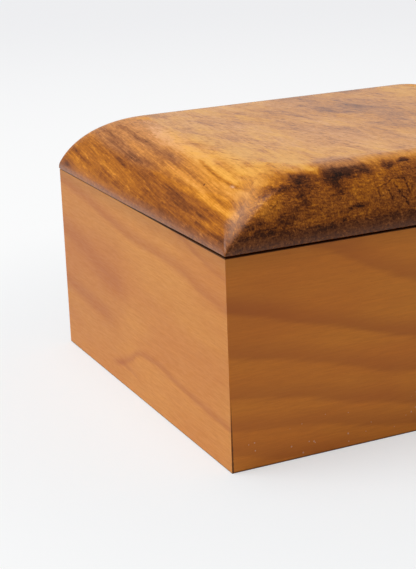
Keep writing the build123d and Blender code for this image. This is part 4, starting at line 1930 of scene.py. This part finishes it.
LID_MARKS: Marks = {
    # Left end: gold and dusky streaks that run down a little towards the front.
    Face.END: (
        Streak(((60, 47), (20, 43), (0, 40.5), (-30, 38), (-60, 35.5), (-90, 34)), 3.0, 0.10),
        Streak(((-5, 27), (-30, 24.5), (-55, 22), (-78, 19), (-103, 15)), 2.0, 0.22),
        Streak(((-60, 34), (-80, 32), (-95, 28)), 2.6, 0.14),
        Streak(((60, 13), (30, 12), (0, 9), (-40, 9)), 2.6, 0.07),
        Streak(((100, 30), (75, 28), (50, 26), (20, 22.5), (-10, 20)), 3.0, -0.14, 20.0, 0.5),
        Streak(((95, 39), (70, 37), (40, 34.5), (10, 33), (-25, 31)), 3.2, -0.16, 16.0, 0.55),
        Streak(((52, 34.5), (35, 34), (18, 32.5)), 0.8, -0.14, 8.0, 0.2),
        Streak(((2, 33.5), (-10, 32)), 0.8, -0.14, 5.0, 0.2),
        Streak(((100, 42), (60, 42), (20, 40)), 6.0, 0.0, 26.0, 0.35),
        Streak(((105, 9), (75, 9), (48, 8)), 3.4, 0.12, 20.0), Patch((70, 28), (30, 6), -0.04, 6, 0.4),
        Streak(((-25, 37.5), (-50, 33), (-62, 31.5), (-84, 29.5)), 0.8, -0.32, 8.0),
        Streak(((-73.5, 30.2), (-77, 29.9)), 0.5, 0.2, 1.2, 2.6),
        Streak(((-45, 16.5), (-75, 13), (-101, 8.5)), 1.2, 0.12, 8.0),
        Streak(((45, 19.5), (38, 19), (28, 17), (20, 15)), 0.9, -0.24, 8.0),
        Streak(((100, 14), (85, 12), (62, 8.5), (55, 7.5)), 0.9, -0.20, 14.0),
        Streak(((98, 5), (85, 3.5)), 1.2, -0.22, 8.0),
        Streak(((110, 6), (60, 5), (20, 3.5), (-15, 3)), 3.2, 0.15, 60.0, -0.5),
        Patch((-70, 29), (30, 6), 0.06, 7), Patch((-25, 17), (28, 5), 0.06, 5),
        Patch((-68, 15), (22, 3), -0.12, 6), Patch((-70, 8), (24, 3), 0.05, 6),
        Patch((40, 28), (52, 8), -0.06, 6, 0.3), Patch((50, 42), (45, 7), 0.0, 3, 0.25),
        Patch((60, 30), (26, 7), 0.06, 6), Patch((-24, 24), (28, 5), -0.05, 6),
        Patch((-25, 15), (30, 6), -0.09, 5), Patch((-10, 8), (46, 3.5), -0.03, 2),
        # Patch((-97, 17)) on the hip is a painted pinkish sheen, where the hip reflects the lamp.
        Patch((-66, 42), (22, 6), 0.06), Patch((-97, 17), (8, 12), -0.08, 0, 0.8),
        Patch((-96, 21.5), (4, 4), -0.10, 0, 0.3), Patch((-94, 8.5), (7, 3), 0.05, 0, -0.6),
        Patch((-84, 33), (8, 4), -0.30, 0, -0.6), Patch((-73, 33), (7, 4), -0.09),
        Patch((-98, 33), (4, 4), 0.24, 0, -0.4), Patch((-97, 19), (6, 4), -0.06),
        Patch((-98, 13), (4, 3), 0.09), Patch((-80, 26), (5, 4), 0.08),
        Patch((-84, 8.5), (10, 2.6), 0.11, 0, -0.4), Patch((-78, 19), (14, 4), -0.05, 6, -0.6),
        Patch((25, 2.5), (30, 3), -0.01, 0, -0.2), Patch((68, 2.5), (18, 3), 0.05, 0, -0.5),
        Patch((20, 43), (75, 8), 0.02, 0, 0.25),
        Streak(((25, 21), (-10, 19.5), (-50, 19), (-80, 17.5), (-104, 16)), 1.6, 0.14, 20.0, -0.3),
        Streak(((10, 20), (-20, 18), (-50, 14), (-90, 9)), 2.2, -0.10, 20.0),
        Streak(((-60, 8), (-85, 6.5), (-103, 6)), 0.9, -0.16),
        Streak(((-85, 11.5), (-94, 9)), 0.9, -0.12, 4.0), Patch((-54.5, 25.5), (0.7, 0.5), -0.7),
    ),
    # Flat top: gold beside the left end, dusky clouds further in.
    Face.TOP: (
        Streak(((-103, -88), (-100, -60), (-95, -20), (-91, 10), (-90, 50)), 3.4, 0.10, 30.0, -0.3),
        Patch((-86, -42), (9, 48), 0.06, -6, -0.5), Patch((-94, 60), (10, 26), -0.08, 0, 0.3),
        Patch((-80, -62), (28, 30), 0.03, 0, -0.3),
        Streak(((-99, -86), (-97, -60), (-94, -30)), 1.3, -0.16, 16.0, 0.2),
        Streak(((-91, -88), (-89, -66), (-86, -44)), 1.0, -0.14, 10.0, 0.1),
        Streak(((-82, -86), (-80, -64), (-77, -48)), 1.6, -0.12, 10.0, 0.3),
        Streak(((-87, -84), (-84, -50)), 1.2, 0.10, 10.0, -0.2),
        Streak(((-72, -70), (-68, -46), (-64, -30)), 1.4, 0.10, 10.0, -0.4),
        Patch((-71, -37), (2.5, 7), -0.14, 8, 0.2), Streak(((-92, -30), (-88, 5)), 1.0, -0.12, 10.0, 0.1),
        Streak(((-60, -20), (-54, 6)), 1.6, 0.08, 8.0, -0.3),
        Streak(((-52, -58), (-44, -32)), 1.2, -0.10, 8.0, 0.2), Patch((-84, -5), (5, 12), 0.07, 0, -0.6),
        Patch((-40, -50), (52, 46), 0.06, 0, -0.1), Patch((32, 24), (34, 74), -0.28, 0, 0.25),
        Patch((-35, 44), (26, 26), -0.06, 0, -0.1), Patch((-26, -25), (38, 66), 0.16, 10, -0.15),
        Patch((26, 14), (14, 26), -0.04), Patch((10, 52), (40, 34), -0.06, 0, 0.15),
        Patch((-54, -76), (13, 10), -0.14, 0, 0.5), Patch((-72, -76), (4, 9), -0.10, 0, 0.4),
        Patch((-56, 36), (12, 28), -0.04, 10, 0.3), Patch((-6, 30), (14, 14), -0.05),
        Patch((3, 62), (15, 16), -0.07, 10, 0.3), Patch((25, 26), (13, 28), -0.06, 12, 0.25),
        Patch((12, -22), (9, 14), -0.09, 15, 0.2), Patch((-8, -14), (8, 14), -0.06, 15, 0.1),
        Patch((6, 4), (4, 14), 0.06, 12, -0.4), Patch((-40, 38), (3, 9), 0.06, 6, -0.5),
        Patch((-24, -62), (26, 16), 0.06, 10, -0.3), Patch((20, 40), (26, 60), -0.06, 12, 0.1),
        Streak(((-40, 48), (-36, 54)), 1.4, -0.14, 4.0, 0.3),
        Streak(((-27, 18), (-24, 27)), 1.0, -0.20, 4.0, 0.2),
    ),
    # Front: end grain with smoky patches below the shoulder and a plain dark foot.
    Face.FRONT: (
        Patch((-60.5, 31), (7, 6), -0.33, 0, 0.2), Patch((-68, 28), (22, 4), -0.05),
        Patch((-54.5, 12.8), (6.5, 1.4), -0.16), Patch((-48.5, 31.5), (9, 4.5), -0.25, 0, 0.2),
        Patch((-53, 41), (12, 8), -0.08, 0, 0.5), Patch((-58, 23), (4, 5), -0.10),
        Streak(((-41.5, 52), (-41.5, 40), (-42, 29)), 1.0, -0.18, 8.0, 0.3),
        Patch((-76, 31.5), (7.5, 4.5), -0.32, 0, 0.2),
        Streak(((-77, 29), (-78, 22), (-82, 13)), 4.0, -0.22, 8.0), Patch((-62, 22), (3.5, 4), -0.12),
        Streak(((-71, 53), (-70, 42), (-68.5, 35), (-65.5, 30)), 1.4, 0.30, 6.0, -0.4),
        Streak(((-98, 31.5), (-88, 30), (-80, 28)), 1.7, 0.16, 6.0, -0.2),
        Streak(((-94, 28), (-88, 27), (-79, 24.5)), 1.8, -0.16, 5.0), Patch((-89, 14), (5, 5), -0.12),
        Patch((-101, 20), (13, 8), 0.16), Patch((-97, 29), (12, 6), -0.20, 0, -0.5),
        Patch((-93, 30), (7, 3.5), 0.14, 0, -0.8), Patch((-98, 39), (15, 6), -0.48, 0, -0.5),
        Patch((-46, 40), (20, 6), 0.06), Patch((-36, 34), (10, 9), -0.02),
        Patch((-100, 11), (14, 4), -0.07),
        Streak(((-119, 7.5), (-110, 8.5), (-104, 9), (-96, 8)), 1.6, -0.14, 5.0),
        Streak(((-80, 6), (-72, 5.5), (-64, 5)), 0.9, -0.16, 5.0),
        Streak(((-57, 22), (-48, 25.5), (-38, 27.5), (-24, 28.5)), 2.6, 0.15, 10.0, -0.3),
        Streak(((-56, 18.5), (-40, 20), (-22, 21)), 3.0, 0.10, 10.0, -0.2),
        Streak(((-34.5, 37), (-34.5, 26)), 0.5, 0.20, 4.0), Patch((-21, 34.8), (3.4, 2.2), -0.34),
        Patch((-30.5, 33), (3.4, 2.4), -0.24),
    ),
}

LID_HAIRLINES = (
    Hairline(((-42, 18.5), (-40.8, 20), (-38.5, 21), (-36, 21.5), (-33, 23.5), (-26, 23)), 0.4),
    Hairline(((-36.5, 18), (-36, 13.5)), 0.45),
    Hairline(((-32.5, 21), (-31.5, 17), (-29.5, 13), (-28, 9.5)), 0.55),
    Hairline(((-26.5, 22), (-26, 15)), 0.45),
    Hairline(((-41.5, 20), (-42, 14.5)), 0.45),
    Hairline(((-59, 12.6), (-55, 12.9), (-51, 12.4)), 0.45),
    Hairline(((-95.5, 18), (-93, 19), (-92, 21)), 0.3),
    Hairline(((-84, 35), (-83.5, 32.5), (-81.5, 31.5)), 0.4),
    Hairline(((-23, 33.5), (-17, 33.5)), 0.4),
    Hairline(((-62.8, 7.6), (-61.4, 7.8)), 0.7),
    Hairline(((-109, 28.5), (-104.5, 25)), 0.25),
)

# On the front the painted seam shadow is narrower and the painted contact shadow reaches higher.
FRONT_LOOK = {"open_mitre": 42.0, "specks": True, "shade": 0.35, "foot_shadow": 0.45}
# On the ends the painted seam shadow thins to a fifth of its depth towards the back.
END_LOOK = {"thinned": 0.2, "pale": linear("DC953F"), "body": linear("D38839")}


def boards() -> dict[str, BoardWood]:
    """Finish of each board, with its run and its place along its own axis.

    Returns:
        The finishes by node.
    """
    made = {}
    for node, run, bands, look in (
        ("front_board", Run.LENGTHWAYS, FRONT_BANDS, FRONT_LOOK),
        ("back_board", Run.LENGTHWAYS, BACK_BANDS, {}),
        ("left_end_board", Run.DEPTHWAYS, LEFT_BANDS, END_LOOK),
        ("right_end_board", Run.DEPTHWAYS, RIGHT_BANDS, END_LOOK),
    ):
        low, high = (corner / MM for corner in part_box(node))
        start, end, across = low[run.value], high[run.value], 1 - run.value
        outer = max(-low[across], high[across])
        made[node] = BoardWood(f"{node}_wood", run, start, end - start, high.z, outer, bands, **look)
    return made


def main() -> None:
    """Build the box, its finishes and its studio, in order."""
    logging.basicConfig(level=logging.INFO, format="%(message)s")
    left_low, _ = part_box("left_end_board")
    front_low, front_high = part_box("front_board")
    Viewpoint().build(Vector((front_low.x, front_low.y, front_high.z / 2)))
    lamps = (
        Softbox("key_lamp", 177.0, 40.0, 3.4, 4.2, 1.3, 76.0),
        Softbox("top_lamp", 150.0, 78.0, 3.6, 2.4, 2.4, 52.0),
    )
    Studio(lamps, target=Vector((0, 0, front_high.z / 2))).build()

    felt = Felt().build()
    pieces = BoxBody(
        boards(),
        PlainWood("bottom_panel_wood", "B98A58", "8E5F38", (0.02, 0.35, 0.35), 0.5),
        PlainWood("tongue_wood", "CDAA7C", "A98257", (0.4, 0.4, 0.03), 0.7),
    ).build()
    plan = Vector((-left_low.x, -front_low.y, front_high.z))
    pieces += PillowLid(LidWood(), Figure(LID_MARKS), LID_HAIRLINES, *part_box("lid"), plan).build()
    pieces += Lining("base_felt", "base_lining", "box", "bottom_panel", True, 1.0 * MM).build(felt)
    pieces += Lining("lid_felt", "lid_lining", "lid", "pillow_lid", False, 7.5 * MM).build(felt)
    pieces += StopHinges(Brass()).build()
    for piece in pieces:
        LOG.info("%s: %d faces", piece.name, len(piece.data.polygons))


if __name__ == "__main__":
    main()
